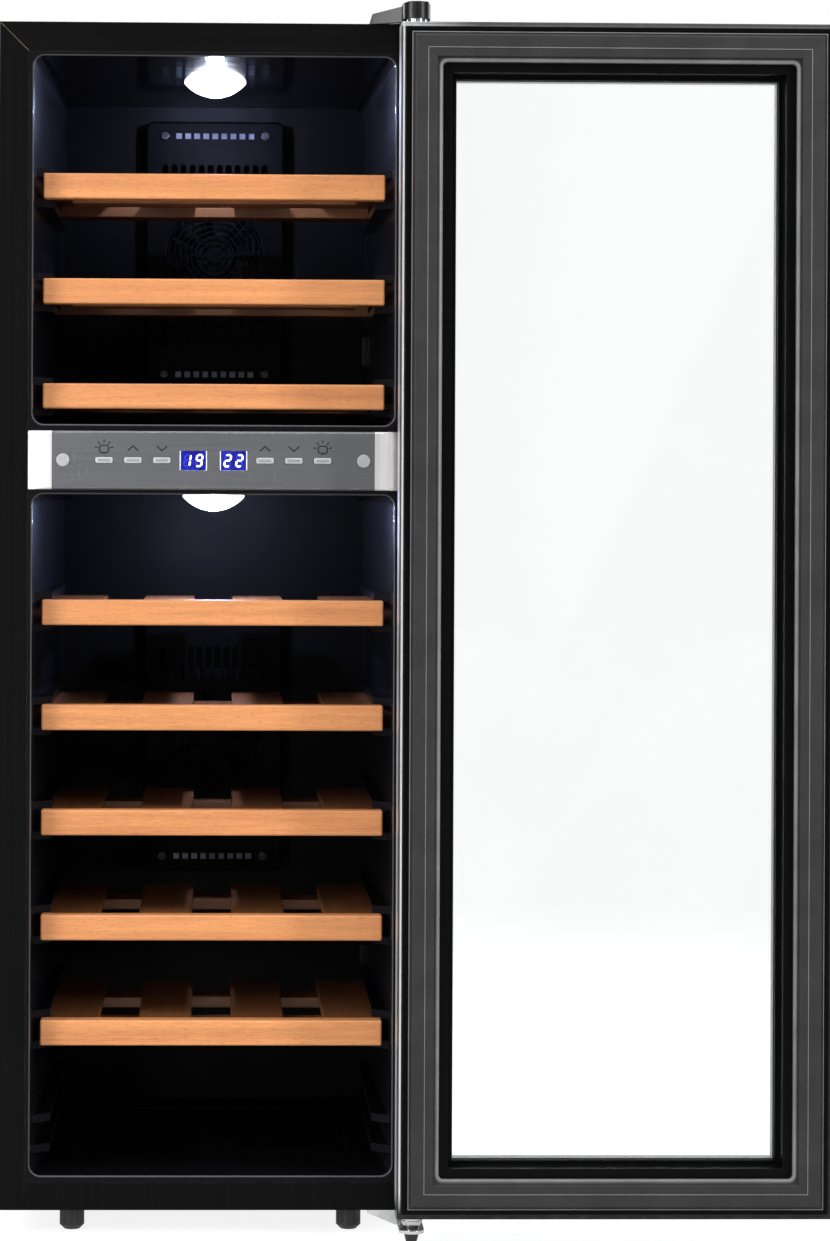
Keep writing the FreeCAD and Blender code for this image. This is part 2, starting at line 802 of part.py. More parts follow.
def fan_cover(fan):
    half_w, half_h = cover_width / 2, cover_height / 2
    shell = rounded_block(-half_w, half_w, fan - half_h, fan + half_h, cover_corner, cover_front, cavity_back)
    rim = edges_at(shell, lambda p: abs(p.y - cover_front) < 1e-4)
    shell = shell.makeFillet(cover_edge_round, rim)
    inner_w, inner_h = half_w - cover_wall, half_h - cover_wall
    shell = shell.cut(rounded_block(-inner_w, inner_w, fan - inner_h, fan + inner_h,
                                    cover_corner - cover_wall, cover_front + cover_wall, cavity_back + 1))
    y0, y1 = cover_front - 1, cover_front + cover_wall + 1
    cuts = []
    size = vent_square / 2
    for end in (-1, 1):
        z = fan + end * (half_h - vent_row_inset)
        for x in spread(vent_columns, vent_pitch):
            cuts.append(block(x - size, x + size, y0, y1, z - size, z + size))
        near = guard_radius + slot_gap
        low, high = sorted((fan + end * near, fan + end * (near + slot_length)))
        slot = (vent_pitch - vent_bar) / 2
        for x in spread(slot_columns, vent_pitch):
            cuts.append(rounded_block(x - slot, x + slot, low, high, slot - 0.1, y0, y1))
    shell = shell.cut(cuts)
    shell = shell.cut(rod(guard_radius, point(0, y0, fan), point(0, y1 - y0, 0)))
    guard_back = point(0, guard_bar, 0)
    guard = [rod(guard_hub, point(0, cover_front, fan), guard_back)]
    radius = guard_hub + guard_pitch
    while radius < guard_radius - guard_bar:
        guard.append(tube(radius, radius - guard_bar, point(0, cover_front, fan), guard_back))
        radius += guard_pitch
    for number in range(guard_spokes):
        spoke = block(guard_hub - 1, guard_radius + 1, cover_front, cover_front + guard_bar,
                      fan - guard_bar / 2, fan + guard_bar / 2)
        spoke.rotate(point(0, 0, fan), point(0, 1, 0), number * 360 / guard_spokes)
        guard.append(spoke)
    shell = shell.multiFuse(guard)
    for x, z in cover_screw_places(fan):
        post = rod(screw_post, point(x, cover_front + cover_wall, z), point(0, cover_depth - cover_wall, 0))
        shell = shell.fuse(post).cut(rod(screw_hole, point(x, y0, z), point(0, cover_depth + 2, 0)))
    return shell


def pan_screw(start, away, length):
    """A pan-head screw: the head stands out along away, the shank goes the other way."""
    head = rod(screw_head, start, away * screw_head_height)
    tip = start + away * screw_head_height
    rim = [edge for edge in head.Edges if edge.Closed and abs((edge.CenterOfMass - tip).dot(away)) < 1e-4]
    head = head.makeFillet(screw_round, rim)
    long, wide = screw_cross, screw_cross_width / 2
    recess = block(-long, long, -wide, wide, -screw_cross_depth, 0.1)
    recess = recess.fuse(block(-wide, wide, -long, long, -screw_cross_depth, 0.1))
    turn = FreeCAD.Rotation(point(0, 0, 1), away)
    recess.Placement = FreeCAD.Placement(tip, turn)
    return joined([head, rod(screw_radius, start, away * -length)]).cut(recess)


def cover_screws():
    screws = []
    for fan in fan_heights:
        for x, z in cover_screw_places(fan):
            screws.append(pan_screw(point(x, cover_front, z), point(0, -1, 0), cover_depth - 1))
    return Part.makeCompound(screws)


def fan_frame(fan, y, depth):
    """A square frame with a round bore, and a bearing disc held on struts at its rear."""
    half = fan_size / 2
    frame = rounded_block(-half, half, fan - half, fan + half, fan_corner, y, y + depth)
    frame = frame.cut(rod(fan_bore, point(0, y - 1, fan), point(0, depth + 2, 0)))
    rear = y + depth - fan_back
    pieces = [frame, rod(fan_hub - 1, point(0, rear, fan), point(0, fan_back, 0))]
    for number in range(4):
        strut = block(fan_hub - 3, fan_bore + 1, rear, rear + fan_back,
                      fan - strut_width / 2, fan + strut_width / 2)
        strut.rotate(point(0, 0, fan), point(0, 1, 0), 45 + number * 90)
        pieces.append(strut)
    frame = joined(pieces)
    frame = frame.cut(rod(fan_shaft + shaft_play, point(0, rear - 1, fan), point(0, fan_back + 2, 0)))
    place = half - fan_hole_inset
    for x in (-place, place):
        for z in (-place, place):
            frame = frame.cut(rod(screw_hole, point(x, y - 1, fan + z), point(0, depth + 2, 0)))
    return frame


def fan_rotor(fan, y, depth):
    """Hub, shaft and pitched blades, clear of the frame all round."""
    rear = y + depth - fan_back
    hub_front, hub_back = y + rotor_front_gap, rear - rotor_back_gap
    pieces = [
        rod(fan_hub, point(0, hub_front, fan), point(0, hub_back - hub_front, 0)),
        rod(fan_shaft, point(0, hub_back, fan), point(0, fan_back - shaft_play, 0)),
    ]
    middle = (hub_front + hub_back) / 2
    chord = (hub_back - hub_front - 2 * rotor_back_gap) / math.sin(math.radians(blade_angle))
    chord = min(chord, blade_chord)
    limit = tube(fan_bore - fan_tip_gap, fan_hub - 2,
                 point(0, hub_front, fan), point(0, hub_back - hub_front, 0))
    for number in range(fan_blades):
        blade = block(fan_hub - 2, fan_bore, -blade_thickness / 2, blade_thickness / 2,
                      -chord / 2, chord / 2)
        blade.rotate(point(0, 0, 0), point(1, 0, 0), 90 - blade_angle)
        blade.rotate(point(0, 0, 0), point(0, 1, 0), number * 360 / fan_blades)
        blade.translate(point(0, middle, fan))
        pieces.append(blade.common(limit))
    return joined(pieces)


def cold_fan_frames():
    return Part.makeCompound([fan_frame(fan, cold_fan_front, cold_fan_depth) for fan in fan_heights])


def hot_fan_frames():
    return Part.makeCompound([fan_frame(fan, hot_fan_front, hot_fan_depth) for fan in fan_heights])


def finned(fan, height, base_start, base_end, fin_end):
    half_w, half_h = sink_width / 2, height / 2
    pieces = [block(-half_w, half_w, *sorted((base_start, base_end)), fan - half_h, fan + half_h)]
    y0, y1 = sorted((base_end, fin_end))
    fins = int((sink_width - fin_thickness) / fin_pitch) + 1
    for x in spread(fins, fin_pitch):
        pieces.append(block(x - fin_thickness / 2, x + fin_thickness / 2, y0, y1, fan - half_h, fan + half_h))
    return pieces


def cold_sinks():
    sinks = []
    half = module_size / 2
    for fan in fan_heights:
        pieces = finned(fan, cold_sink_height, cavity_back, cavity_back - cold_base, cold_sink_front)
        pieces.append(block(-half, half, cavity_back, module_front, fan - half, fan + half))
        sinks.append(joined(pieces))
    return Part.makeCompound(sinks)


def peltier_modules():
    half = module_size / 2
    return Part.makeCompound([block(-half, half, module_front, hot_front, fan - half, fan + half)
                              for fan in fan_heights])


def hot_sinks():
    base_end = hot_front + hot_base
    return Part.makeCompound([joined(finned(fan, hot_sink_height, hot_front, base_end, hot_fan_front))
                              for fan in fan_heights])


def power_supply():
    low = base + supply_rise
    high = low + supply_height
    rear = hot_front + supply_depth
    case = block(supply_left, supply_left + supply_width, hot_front, rear, low, high)
    middle = supply_left + supply_width / 2
    half = supply_slot_width / 2
    slots = [block(middle + x - half, middle + x + half, rear - supply_slot_depth, rear + 1,
                   low + supply_slot_margin, high - supply_slot_margin)
             for x in spread(supply_slots, supply_slot_pitch)]
    return case.cut(slots)


def mains_inlet():
    """A flush appliance socket with three blades in a recess."""
    x0, x1, z0, z1 = inlet_box(0)
    x, z = (x0 + x1) / 2, (z0 + z1) / 2
    flange = rounded_block(*inlet_box(inlet_flange), inlet_flange_round, back, back + inlet_flange_thickness)
    body = block(x0, x1, back - inlet_depth, back, z0, z1)
    socket = rounded_block(x0 + socket_side_wall, x1 - socket_side_wall,
                           z0 + socket_low_wall, z1 - socket_low_wall, socket_round,
                           back - socket_depth, back + inlet_flange_thickness + 1)
    half = blade_width / 2
    blades = [block(x + dx - half, x + dx + half, back - socket_depth - 0.5, back - blade_sink,
                    z + dz, z + dz + blade_height)
              for dx, dz in ((-blade_spread, -3), (0, 0), (blade_spread, -3))]
    return joined([joined([flange, body]).cut(socket)] + blades)


def temperature_probes():
    """A slotted bulb holder on the right wall of each zone."""
    probes = []
    depth = cavity_depth - probe_back_gap
    x = wall_x(depth)
    face_x = x - probe_depth
    y = front + depth
    half = probe_length / 2
    slot_half = half - probe_slot_margin
    zones = (
        (upper_floor, upper_ceiling, upper_floor + upper_probe_rise),
        (lower_floor, lower_ceiling, lower_floor + lower_probe_rise + shelf_pitch / 2),
    )
    for floor, ceiling, low in zones:
        holder = block(face_x, x, y - half, y + half, low, low + probe_height)
        holder = holder.makeFillet(probe_round, edges_at(holder, lambda p: abs(p.x - face_x) < 1e-4))
        middle = low + probe_height / 2
        slots = [block(face_x - 1, face_x + probe_slot_depth, y - slot_half, y + slot_half,
                       middle + rise - probe_slot_height / 2, middle + rise + probe_slot_height / 2)
                 for rise in spread(3, probe_slot_pitch)]
        probes.append(holder.cut(slots).common(tub(floor, ceiling, 0, cavity_depth)))
    return Part.makeCompound(probes)


# ---------------------------------------------------------------- hinges
def arm_outline(half, left, rear, z):
    """A flat arm in plan: round about the hinge axis, square at the rear."""
    right = pivot_x + half
    round_end = Part.Arc(point(pivot_x - half, pivot_y, z), point(pivot_x, pivot_y - half, z),
                         point(right, pivot_y, z)).toShape()
    corners = [point(right, pivot_y, z), point(right, rear, z), point(left, rear, z),
               point(left, front + arm_step, z), point(pivot_x - half, front - arm_step, z),
               point(pivot_x - half, pivot_y, z)]
    lines = [Part.makeLine(corners[i], corners[i + 1]) for i in range(len(corners) - 1)]
    return Part.Face(Part.Wire([round_end] + lines))


def top_hinge_plate():
    left = pivot_x - cover_left + 2 * cover_skin
    plate = arm_outline(plate_half, left, front + plate_back, top).extrude(point(0, 0, plate_thickness))
    for x, y in hinge_screw_places():
        plate = plate.cut(rod(screw_hole, point(x, y, top - 1), point(0, 0, plate_thickness + 2)))
    return plate.cut(rod(pin_radius, point(pivot_x, pivot_y, top - 1), point(0, 0, plate_thickness + 2)))


def top_hinge_cover():
    def solid(skin):
        left = pivot_x - cover_left + skin
        half = cover_round - skin
        rear = front + plate_back + cover_tail - skin
        right = pivot_x + half
        flat_start = pivot_x - cover_flat
        outline = [
            point(left, 0, top), point(left, 0, top + cover_low - skin),
            point(flat_start, 0, top + cover_high - skin),
            point(right - cover_bevel, 0, top + cover_high - skin),
            point(right, 0, top + cover_high - cover_bevel - skin), point(right, 0, top),
        ]
        ridge = prism(outline, point(0, rear - pivot_y + half + 1, 0))
        ridge.translate(point(0, pivot_y - half - 1, 0))
        plan_round = Part.Arc(point(pivot_x - half, pivot_y, top), point(pivot_x, pivot_y - half, top),
                              point(right, pivot_y, top)).toShape()
        corners = [point(right, pivot_y, top), point(right, rear, top), point(left, rear, top),
                   point(left, front + skin, top), point(pivot_x - half, front - cover_step + skin, top),
                   point(pivot_x - half, pivot_y, top)]
        lines = [Part.makeLine(corners[i], corners[i + 1]) for i in range(len(corners) - 1)]
        plan = Part.Face(Part.Wire([plan_round] + lines)).extrude(point(0, 0, cover_high + 5))
        return ridge.common(plan)

    return solid(0).cut(solid(cover_skin))


def bottom_hinge_bracket():
    """A plate under the base pan, a web down its front and an arm forward under the door."""
    arm_top = base - arm_drop
    arm_low = arm_top - plate_thickness
    left = pivot_x - cover_left
    half = cover_round
    right = pivot_x + half - 1
    web_y = front + bracket_web_inset
    tab = block(left, right, web_y, front + bracket_length, base - plate_thickness, base)
    for x, y in hinge_screw_places():
        tab = tab.cut(rod(screw_hole, point(x, y, base - 5), point(0, 0, 6)))
    web_outline = [
        point(left, web_y, base), point(right, web_y, base),
        point(right, web_y, arm_low), point(pivot_x - half, web_y, arm_low),
        point(left, web_y, base - plate_thickness),
    ]
    web = prism(web_outline, point(0, plate_thickness, 0))
    arm = rod(half - 1, point(pivot_x, pivot_y, arm_low), point(0, 0, plate_thickness))
    arm = arm.fuse(block(pivot_x - half + 1, right, pivot_y, front + arm_step, arm_low, arm_top))
    return joined([tab, web, arm]).cut(rod(pin_radius, point(pivot_x, pivot_y, arm_low - 1),
                                           point(0, 0, plate_thickness + 2)))


def hinge_pins():
    arm_low = base - arm_drop - plate_thickness
    upper = rod(pin_radius, point(pivot_x, pivot_y, door_high - pin_reach),
                point(0, 0, top + plate_thickness + pin_stand - door_high + pin_reach))
    lower = rod(pin_radius, point(pivot_x, pivot_y, arm_low), point(0, 0, door_low + pin_reach - arm_low))
    pins = []
    for pin, end in ((upper, door_high - pin_reach), (lower, door_low + pin_reach)):
        pins.append(pin.makeChamfer(pin_chamfer, edges_at(pin, lambda p, end=end: abs(p.z - end) < 1e-4)))
    return Part.makeCompound(pins)


def hinge_washers():
    """A flat washer over the door, and a dished collar with a washer on it under the door."""
    above_low = door_high + washer_gap
    above = tube(washer_radius, pin_radius, point(pivot_x, pivot_y, above_low), point(0, 0, top - above_low))
    low = base - arm_drop
    dish = Part.makeCone(dish_bottom, dish_top, dish_height, point(pivot_x, pivot_y, low), point(0, 0, 1))
    washer_low = low + dish_height
    washer_high = door_low - washer_gap
    washer = rod(washer_radius, point(pivot_x, pivot_y, washer_low), point(0, 0, washer_high - washer_low))
    bore = rod(pin_radius, point(pivot_x, pivot_y, low - 1), point(0, 0, washer_high - low + 2))
    return Part.makeCompound([above, dish.cut(bore), washer.cut(bore)])


def cabinet_screws():
    screws = [pan_screw(point(x, y, top + plate_thickness), point(0, 0, 1), screw_length)
              for x, y in hinge_screw_places()]
    screws += [pan_screw(point(x, y, base - plate_thickness), point(0, 0, -1), screw_length)
               for x, y in hinge_screw_places()]
    screws += [pan_screw(point(x, back, z), point(0, 1, 0), screw_length)
               for x, z in back_screw_places()]
    return Part.makeCompound(screws)


# ---------------------------------------------------------------- feet
def foot(x, y, gap):
    pad_top = base - gap
    pad = rod(foot_radius, point(x, y, 0), point(0, 0, pad_top))
    pad = pad.makeChamfer(foot_bevel, edges_at(pad, lambda p: p.z < 1e-4))
    flutes = []
    out = foot_radius + flute_out
    low = foot_bevel + flute_margin
    for number in range(flute_count):
        angle = 2 * math.pi * number / flute_count
        at = point(x + out * math.cos(angle), y + out * math.sin(angle), low)
        flutes.append(rod(flute_radius, at, point(0, 0, pad_top - flute_margin - low)))
    stud = rod(stud_radius, point(x, y, pad_top - 0.01), point(0, 0, stud_length + gap))
    return joined([pad.cut(flutes), stud])


def rear_feet():
    return Part.makeCompound([foot(x, y, 0) for x, y in foot_places()[2:]])


def hinge_foot():
    top_z = base - arm_drop - plate_thickness
    low = point(pivot_x, pivot_y, 0)
    return Part.makeCone(hinge_foot_bottom, hinge_foot_top, top_z, low, point(0, 0, 1))


# ---------------------------------------------------------------- door, built closed
def grip_box(grow):
    """The finger pocket in the free edge, at mid height."""
    y0 = door_outer + grip_front
    return block(-half_width - 1, -half_width + grip_depth + grow, y0 - grow, y0 + grip_height + grow,
                 door_middle - grip_length / 2 - grow, door_middle + grip_length / 2 + grow)


def bush_bore(z0, z1, radius):
    return rod(radius, point(pivot_x, pivot_y, z0), point(0, 0, z1 - z0))


def door_trim():
    """Folded metal round the door's edge, with a lip over the outer pane and a grooved lip behind."""
    band = door_ring(0, trim, door_outer, door_inner)
    front_lip = door_ring(0, trim_front_lip, door_outer, door_outer + trim)
    back_lip = door_ring(0, trim_back_lip, door_inner - trim, door_inner)
    groove = door_ring(trim_groove, trim_groove, door_inner - trim_groove_depth, door_inner + 1)
    body = joined([band, front_lip, back_lip]).cut(groove).cut(grip_box(0))
    for z0, z1 in ((door_low - 1, door_low + trim + 1), (door_high - trim - 1, door_high + 1)):
        body = body.cut(bush_bore(z0, z1, bush_radius))
    return body


def door_frame():
    """A hollow moulding round the glass, with solid hinge corners and a finger pocket."""
    outer_face = glass_outer + pane + seam
    sloped = glass_border - frame_slope
    body = door_ring(trim, sloped - trim, outer_face, door_inner - trim)
    body = body.fuse(door_ring(trim_back_lip, sloped - trim_back_lip, door_inner - trim, door_inner))
    ledge = door_ring(sloped - 1, frame_slope + 1, inner_pane_inner, inner_pane_inner + frame_ledge)
    body = body.fuse(ledge)
    body = body.cut(door_ring(glass_border - pane_overlap, pane_overlap + 1, outer_face - 1, inner_pane_inner))
    hollow = door_ring(trim + frame_wall, glass_border - pane_overlap - 2 * frame_wall - trim,
                       outer_face - 1, door_inner - trim - frame_wall)
    reach = half_width - trim
    corners = [block(reach - corner_block, reach, outer_face - 2, door_inner, z0, z1)
               for z0, z1 in ((door_low, door_low + corner_block), (door_high - corner_block, door_high))]
    hollow = hollow.cut(corners).cut(grip_box(grip_wall))
    body = body.cut(hollow).cut(grip_box(0))
    for z0, z1 in ((door_low - 1, door_low + bush_length), (door_high - bush_length, door_high + 1)):
        body = body.cut(bush_bore(z0, z1, bush_radius))
    return body


def door_bushes():
    bushes = []
    for z0, z1 in ((door_low, door_low + bush_length), (door_high - bush_length, door_high)):
        bushes.append(bush_bore(z0, z1, bush_radius).cut(bush_bore(z0 - 1, z1 + 1, pin_radius + pin_play)))
    return Part.makeCompound(bushes)


def glass_plate(inset, y0, y1):
    edge = half_width - inset
    return block(-edge, edge, y0, y1, door_low + inset, door_high - inset)


def outer_glass():
    """The full front pane, inside the trim's band and behind its front lip."""
    return glass_plate(outer_pane_inset, glass_outer, glass_outer + pane)


def inner_glass():
    return glass_plate(glass_border - pane_overlap + pane_fit, inner_pane_outer, inner_pane_inner)


def glass_spacer():
    inset = glass_border - pane_overlap + pane_fit
    return door_ring(inset, spacer_width, glass_outer + pane, inner_pane_outer)


def door_gasket():
    """A soft seal: a flat base with a raised magnetic cushion and two fine ribs beside it."""
    base_top = door_inner + gasket_base
    cushion_top = front - gasket_gap
    cushion_width = gasket_width - 2 * gasket_magnet_inset
    pieces = [
        door_ring(gasket_inset, gasket_width, door_inner, base_top),
        door_ring(gasket_inset + gasket_magnet_inset, cushion_width, base_top, cushion_top),
        door_ring(gasket_inset + outer_rib_inset, outer_rib_width, base_top, base_top + outer_rib_height),
        door_ring(gasket_inset + gasket_width - inner_rib_inset, inner_rib_width,
                  base_top, base_top + inner_rib_height),
    ]
    return joined(pieces)


# ---------------------------------------------------------------- shelves
def shelf(middle):
    """A front board, slats from front to back, and two battens under them; seven boards."""
    board_half = opening_half - board_side_gap
    board = block(-board_half, board_half, board_front, board_front + board_thickness,
                  middle - board_height / 2, middle + board_height / 2)
    board = board.makeFillet(board_round, board.Edges)
    outer = opening_half - slat_side_gap
    slat_top = middle + board_height / 2 - slat_drop
    slat_low = slat_top - slat_thickness
    slat_front = board_front + board_thickness
    pitch = (2 * outer - slat_width) / (slat_count - 1)
    pieces = [board]
    for number in range(slat_count):
        x = -outer + number * pitch
        slat = block(x, x + slat_width, slat_front, slat_back, slat_low, slat_top)
        long_edges = edges_at(slat, lambda p, z=slat_top: abs(p.z - z) < 1e-4)
        pieces.append(slat.makeFillet(slat_round, long_edges))
    battens = (
        (outer - front_batten_inset, board_front + front_batten_start),
        (outer - rear_batten_inset, slat_back - rear_batten_gap - batten_width),
    )
    for half, start in battens:
        batten = block(-half, half, start, start + batten_width, slat_low - batten_thickness, slat_low)
        low_edges = edges_at(batten, lambda p, z=slat_low - batten_thickness: abs(p.z - z) < 1e-4)
        pieces.append(batten.makeFillet(slat_round, low_edges))
    return Part.makeCompound(pieces)


def nodes():
    """Every node's name and shape, one at a time."""
    yield "cabinet_wrapper", cabinet_wrapper()
    yield "base_pan", base_pan()
    yield "back_panel", back_panel()
    yield "upper_liner", liner("upper")
    yield "lower_liner", liner("lower")
    yield "insulation_foam", insulation_foam()
    yield "control_bezel", control_bezel()
    yield "bezel_caps", bezel_caps()
    names = ("upper_lamp_button", "upper_warmer_button", "upper_cooler_button",
             "lower_warmer_button", "lower_cooler_button", "lower_lamp_button")
    for name, x in zip(names, button_places()):
        yield name, panel_button(x)
    yield "display_windows", display_windows()
    yield "display_modules", display_modules()
    yield "control_board", control_board()
    yield "upper_lamp_lens", lamp_lens(upper_ceiling)
    yield "lower_lamp_lens", lamp_lens(lower_ceiling)
    yield "lamp_boards", lamp_boards()
    for zone, fan in (("upper", upper_fan), ("lower", lower_fan)):
        yield zone + "_fan_cover", fan_cover(fan)
        yield zone + "_cold_fan_rotor", fan_rotor(fan, cold_fan_front, cold_fan_depth)
        yield zone + "_hot_fan_rotor", fan_rotor(fan, hot_fan_front, hot_fan_depth)
    yield "cover_screws", cover_screws()
    yield "cold_fan_frames", cold_fan_frames()
    yield "hot_fan_frames", hot_fan_frames()
    yield "cold_sinks", cold_sinks()
    yield "peltier_modules", peltier_modules()
    yield "hot_sinks", hot_sinks()
    yield "power_supply", power_supply()
    yield "mains_inlet", mains_inlet()
    yield "temperature_probes", temperature_probes()
    yield "top_hinge_plate", top_hinge_plate()
    yield "top_hinge_cover", top_hinge_cover()
    yield "bottom_hinge_bracket", bottom_hinge_bracket()
    yield "hinge_pins", hinge_pins()
    yield "hinge_washers", hinge_washers()
    yield "cabinet_screws", cabinet_screws()
    for name, (x, y) in zip(("front_left_foot", "front_right_foot"), foot_places()):
        yield name, foot(x, y, foot_gap)
    yield "rear_feet", rear_feet()
    yield "hinge_foot", hinge_foot()
    yield "door_trim", swung_open(door_trim())
    yield "door_frame", swung_open(door_frame())
    yield "door_bushes", swung_open(door_bushes())
    yield "outer_glass", swung_open(outer_glass())
    yield "inner_glass", swung_open(inner_glass())
    yield "glass_spacer", swung_open(glass_spacer())
    yield "door_gasket", swung_open(door_gasket())
    for number, level in enumerate(shelf_levels("upper") + shelf_levels("lower"), start=1):
        yield "shelf_%d" % number, shelf(level)


os.makedirs("parts", exist_ok=True)
for name, shape in nodes():
    shape.exportStep("parts/%s.step" % name)
    print("%-22s %2d solids %10.0f mm3  valid %s" % (name, len(shape.Solids), shape.Volume, shape.isValid()))
print("hinge axis at x %.1f y %.1f" % (pivot_x, pivot_y))
print("zones: lower %.1f to %.1f, upper %.1f to %.1f, top %.1f" % (
    lower_floor, lower_ceiling, upper_floor, upper_ceiling, top))
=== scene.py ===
import bmesh
import bpy
import json
import math
from mathutils import Matrix, Vector


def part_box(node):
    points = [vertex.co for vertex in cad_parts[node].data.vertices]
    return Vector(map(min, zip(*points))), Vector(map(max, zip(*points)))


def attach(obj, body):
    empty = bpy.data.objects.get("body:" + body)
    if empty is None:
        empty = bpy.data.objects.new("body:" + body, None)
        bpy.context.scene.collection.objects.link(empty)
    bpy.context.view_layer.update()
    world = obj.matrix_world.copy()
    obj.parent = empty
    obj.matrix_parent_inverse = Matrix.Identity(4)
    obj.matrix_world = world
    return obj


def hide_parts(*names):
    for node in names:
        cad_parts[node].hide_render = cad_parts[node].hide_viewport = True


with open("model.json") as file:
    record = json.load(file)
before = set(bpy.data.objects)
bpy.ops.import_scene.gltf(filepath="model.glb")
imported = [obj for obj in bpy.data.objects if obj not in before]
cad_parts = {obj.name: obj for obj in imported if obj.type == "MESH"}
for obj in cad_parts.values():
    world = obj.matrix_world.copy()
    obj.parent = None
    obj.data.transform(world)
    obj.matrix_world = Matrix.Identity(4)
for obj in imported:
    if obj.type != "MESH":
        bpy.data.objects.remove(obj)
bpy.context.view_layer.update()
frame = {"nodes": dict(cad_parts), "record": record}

cabinetLow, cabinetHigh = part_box("cabinet_wrapper")
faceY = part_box("control_bezel")[0].y  # front of the control panel
shelfNames = sorted(name for name in frame["nodes"] if name.startswith("shelf_"))
print("frame loaded:", len(frame["nodes"]), "nodes")


# Node helpers
def put(tree, kind, inputs=None, **settings):
    node = tree.nodes.new(kind)
    for name, value in settings.items():
        setattr(node, name, value)
    for name, value in (inputs or {}).items():
        if isinstance(value, bpy.types.NodeSocket):
            tree.links.new(value, node.inputs[name])
        else:
            node.inputs[name].default_value = value
    return node


def calc(tree, operation, first, second=0.0):
    return put(tree, "ShaderNodeMath", {0: first, 1: second}, operation=operation).outputs[0]


def remap(tree, value, low, high, newLow=0.0, newHigh=1.0):
    inputs = {"Value": value, "From Min": low, "From Max": high, "To Min": newLow, "To Max": newHigh}
    return put(tree, "ShaderNodeMapRange", inputs).outputs["Result"]


def blendColor(tree, factor, first, second, blend="MIX"):
    inputs = {0: factor, 6: first, 7: second}
    return put(tree, "ShaderNodeMix", inputs, data_type="RGBA", blend_type=blend).outputs[2]


def noise(tree, vector, scale, detail=3.0, roughness=0.55):
    inputs = {"Vector": vector, "Scale": scale, "Detail": detail, "Roughness": roughness}
    return put(tree, "ShaderNodeTexNoise", inputs).outputs["Fac"]


def stretched(tree, vector, stretch):
    return put(tree, "ShaderNodeVectorMath", {0: vector, 1: stretch}, operation="MULTIPLY").outputs[0]


def objectPlace(tree):
    return put(tree, "ShaderNodeTexCoord").outputs["Object"]


def partsOf(tree, vector):
    return put(tree, "ShaderNodeSeparateXYZ", {0: vector}).outputs


def facingOf(tree):
    return partsOf(tree, put(tree, "ShaderNodeNewGeometry").outputs["Normal"])


def distanceFrom(tree, value, middle):
    return calc(tree, "ABSOLUTE", calc(tree, "SUBTRACT", value, middle))


def choose(tree, factor, first, second):
    return put(tree, "ShaderNodeMix", {0: factor, 2: first, 3: second}).outputs[0]


def newGroup(name, inputs, outputs):
    tree = bpy.data.node_groups.new(name, "ShaderNodeTree")
    for label, kind, value in inputs:
        socket = tree.interface.new_socket(label, in_out="INPUT", socket_type=kind)
        socket.default_value = value
    for label in outputs:
        kind = "NodeSocketVector" if label == "Normal" else "NodeSocketFloat"
        tree.interface.new_socket(label, in_out="OUTPUT", socket_type=kind)
    return tree, tree.nodes.new("NodeGroupInput").outputs, tree.nodes.new("NodeGroupOutput").inputs


def useGroup(tree, group, **inputs):
    return put(tree, "ShaderNodeGroup", inputs, node_tree=group).outputs


# Shared effects
def makeBrushLines():
    inputs = [("Stretch", "NodeSocketVector", (1.0, 1.0, 1.0)), ("Sharpness", "NodeSocketFloat", 0.5)]
    tree, given, result = newGroup("brushLines", inputs, ["Lines", "Bands"])
    place = stretched(tree, objectPlace(tree), given["Stretch"])
    fine = noise(tree, place, 1.0, 5.0, 0.7)
    coarse = noise(tree, place, 0.17, 3.0, 0.5)
    mixed = calc(tree, "ADD", calc(tree, "MULTIPLY", fine, given["Sharpness"]),
                 calc(tree, "MULTIPLY", coarse, calc(tree, "SUBTRACT", 1.0, given["Sharpness"])))
    tree.links.new(remap(tree, mixed, 0.3, 0.7), result["Lines"])
    tree.links.new(remap(tree, coarse, 0.35, 0.65), result["Bands"])
    return tree


def makeMouldGrain():
    inputs = [("Size", "NodeSocketFloat", 1200.0)]
    tree, given, result = newGroup("mouldGrain", inputs, ["Height", "Mottle"])
    place = objectPlace(tree)
    cells = put(tree, "ShaderNodeTexVoronoi", {"Vector": place, "Scale": given["Size"]}, feature="SMOOTH_F1")
    fine = noise(tree, place, calc(tree, "MULTIPLY", given["Size"], 1.7), 2.0)
    height = calc(tree, "ADD", cells.outputs["Distance"], calc(tree, "MULTIPLY", fine, 0.5))
    tree.links.new(height, result["Height"])
    tree.links.new(remap(tree, noise(tree, place, 34.0, 5.0, 0.6), 0.3, 0.7), result["Mottle"])
    return tree


def makeEdgeWear():
    inputs = [("Radius", "NodeSocketFloat", 0.0006), ("Breakup", "NodeSocketFloat", 160.0)]
    tree, given, result = newGroup("edgeWear", inputs, ["Mask", "Normal"])
    bevel = put(tree, "ShaderNodeBevel", {"Radius": given["Radius"]}, samples=4)
    true = put(tree, "ShaderNodeNewGeometry").outputs["Normal"]
    dot = put(tree, "ShaderNodeVectorMath", {0: bevel.outputs[0], 1: true}, operation="DOT_PRODUCT")
    edge = remap(tree, dot.outputs["Value"], 0.995, 0.86)
    broken = remap(tree, noise(tree, objectPlace(tree), given["Breakup"], 4.0, 0.65), 0.42, 0.62)
    tree.links.new(calc(tree, "MULTIPLY", edge, broken), result["Mask"])
    tree.links.new(bevel.outputs[0], result["Normal"])
    return tree


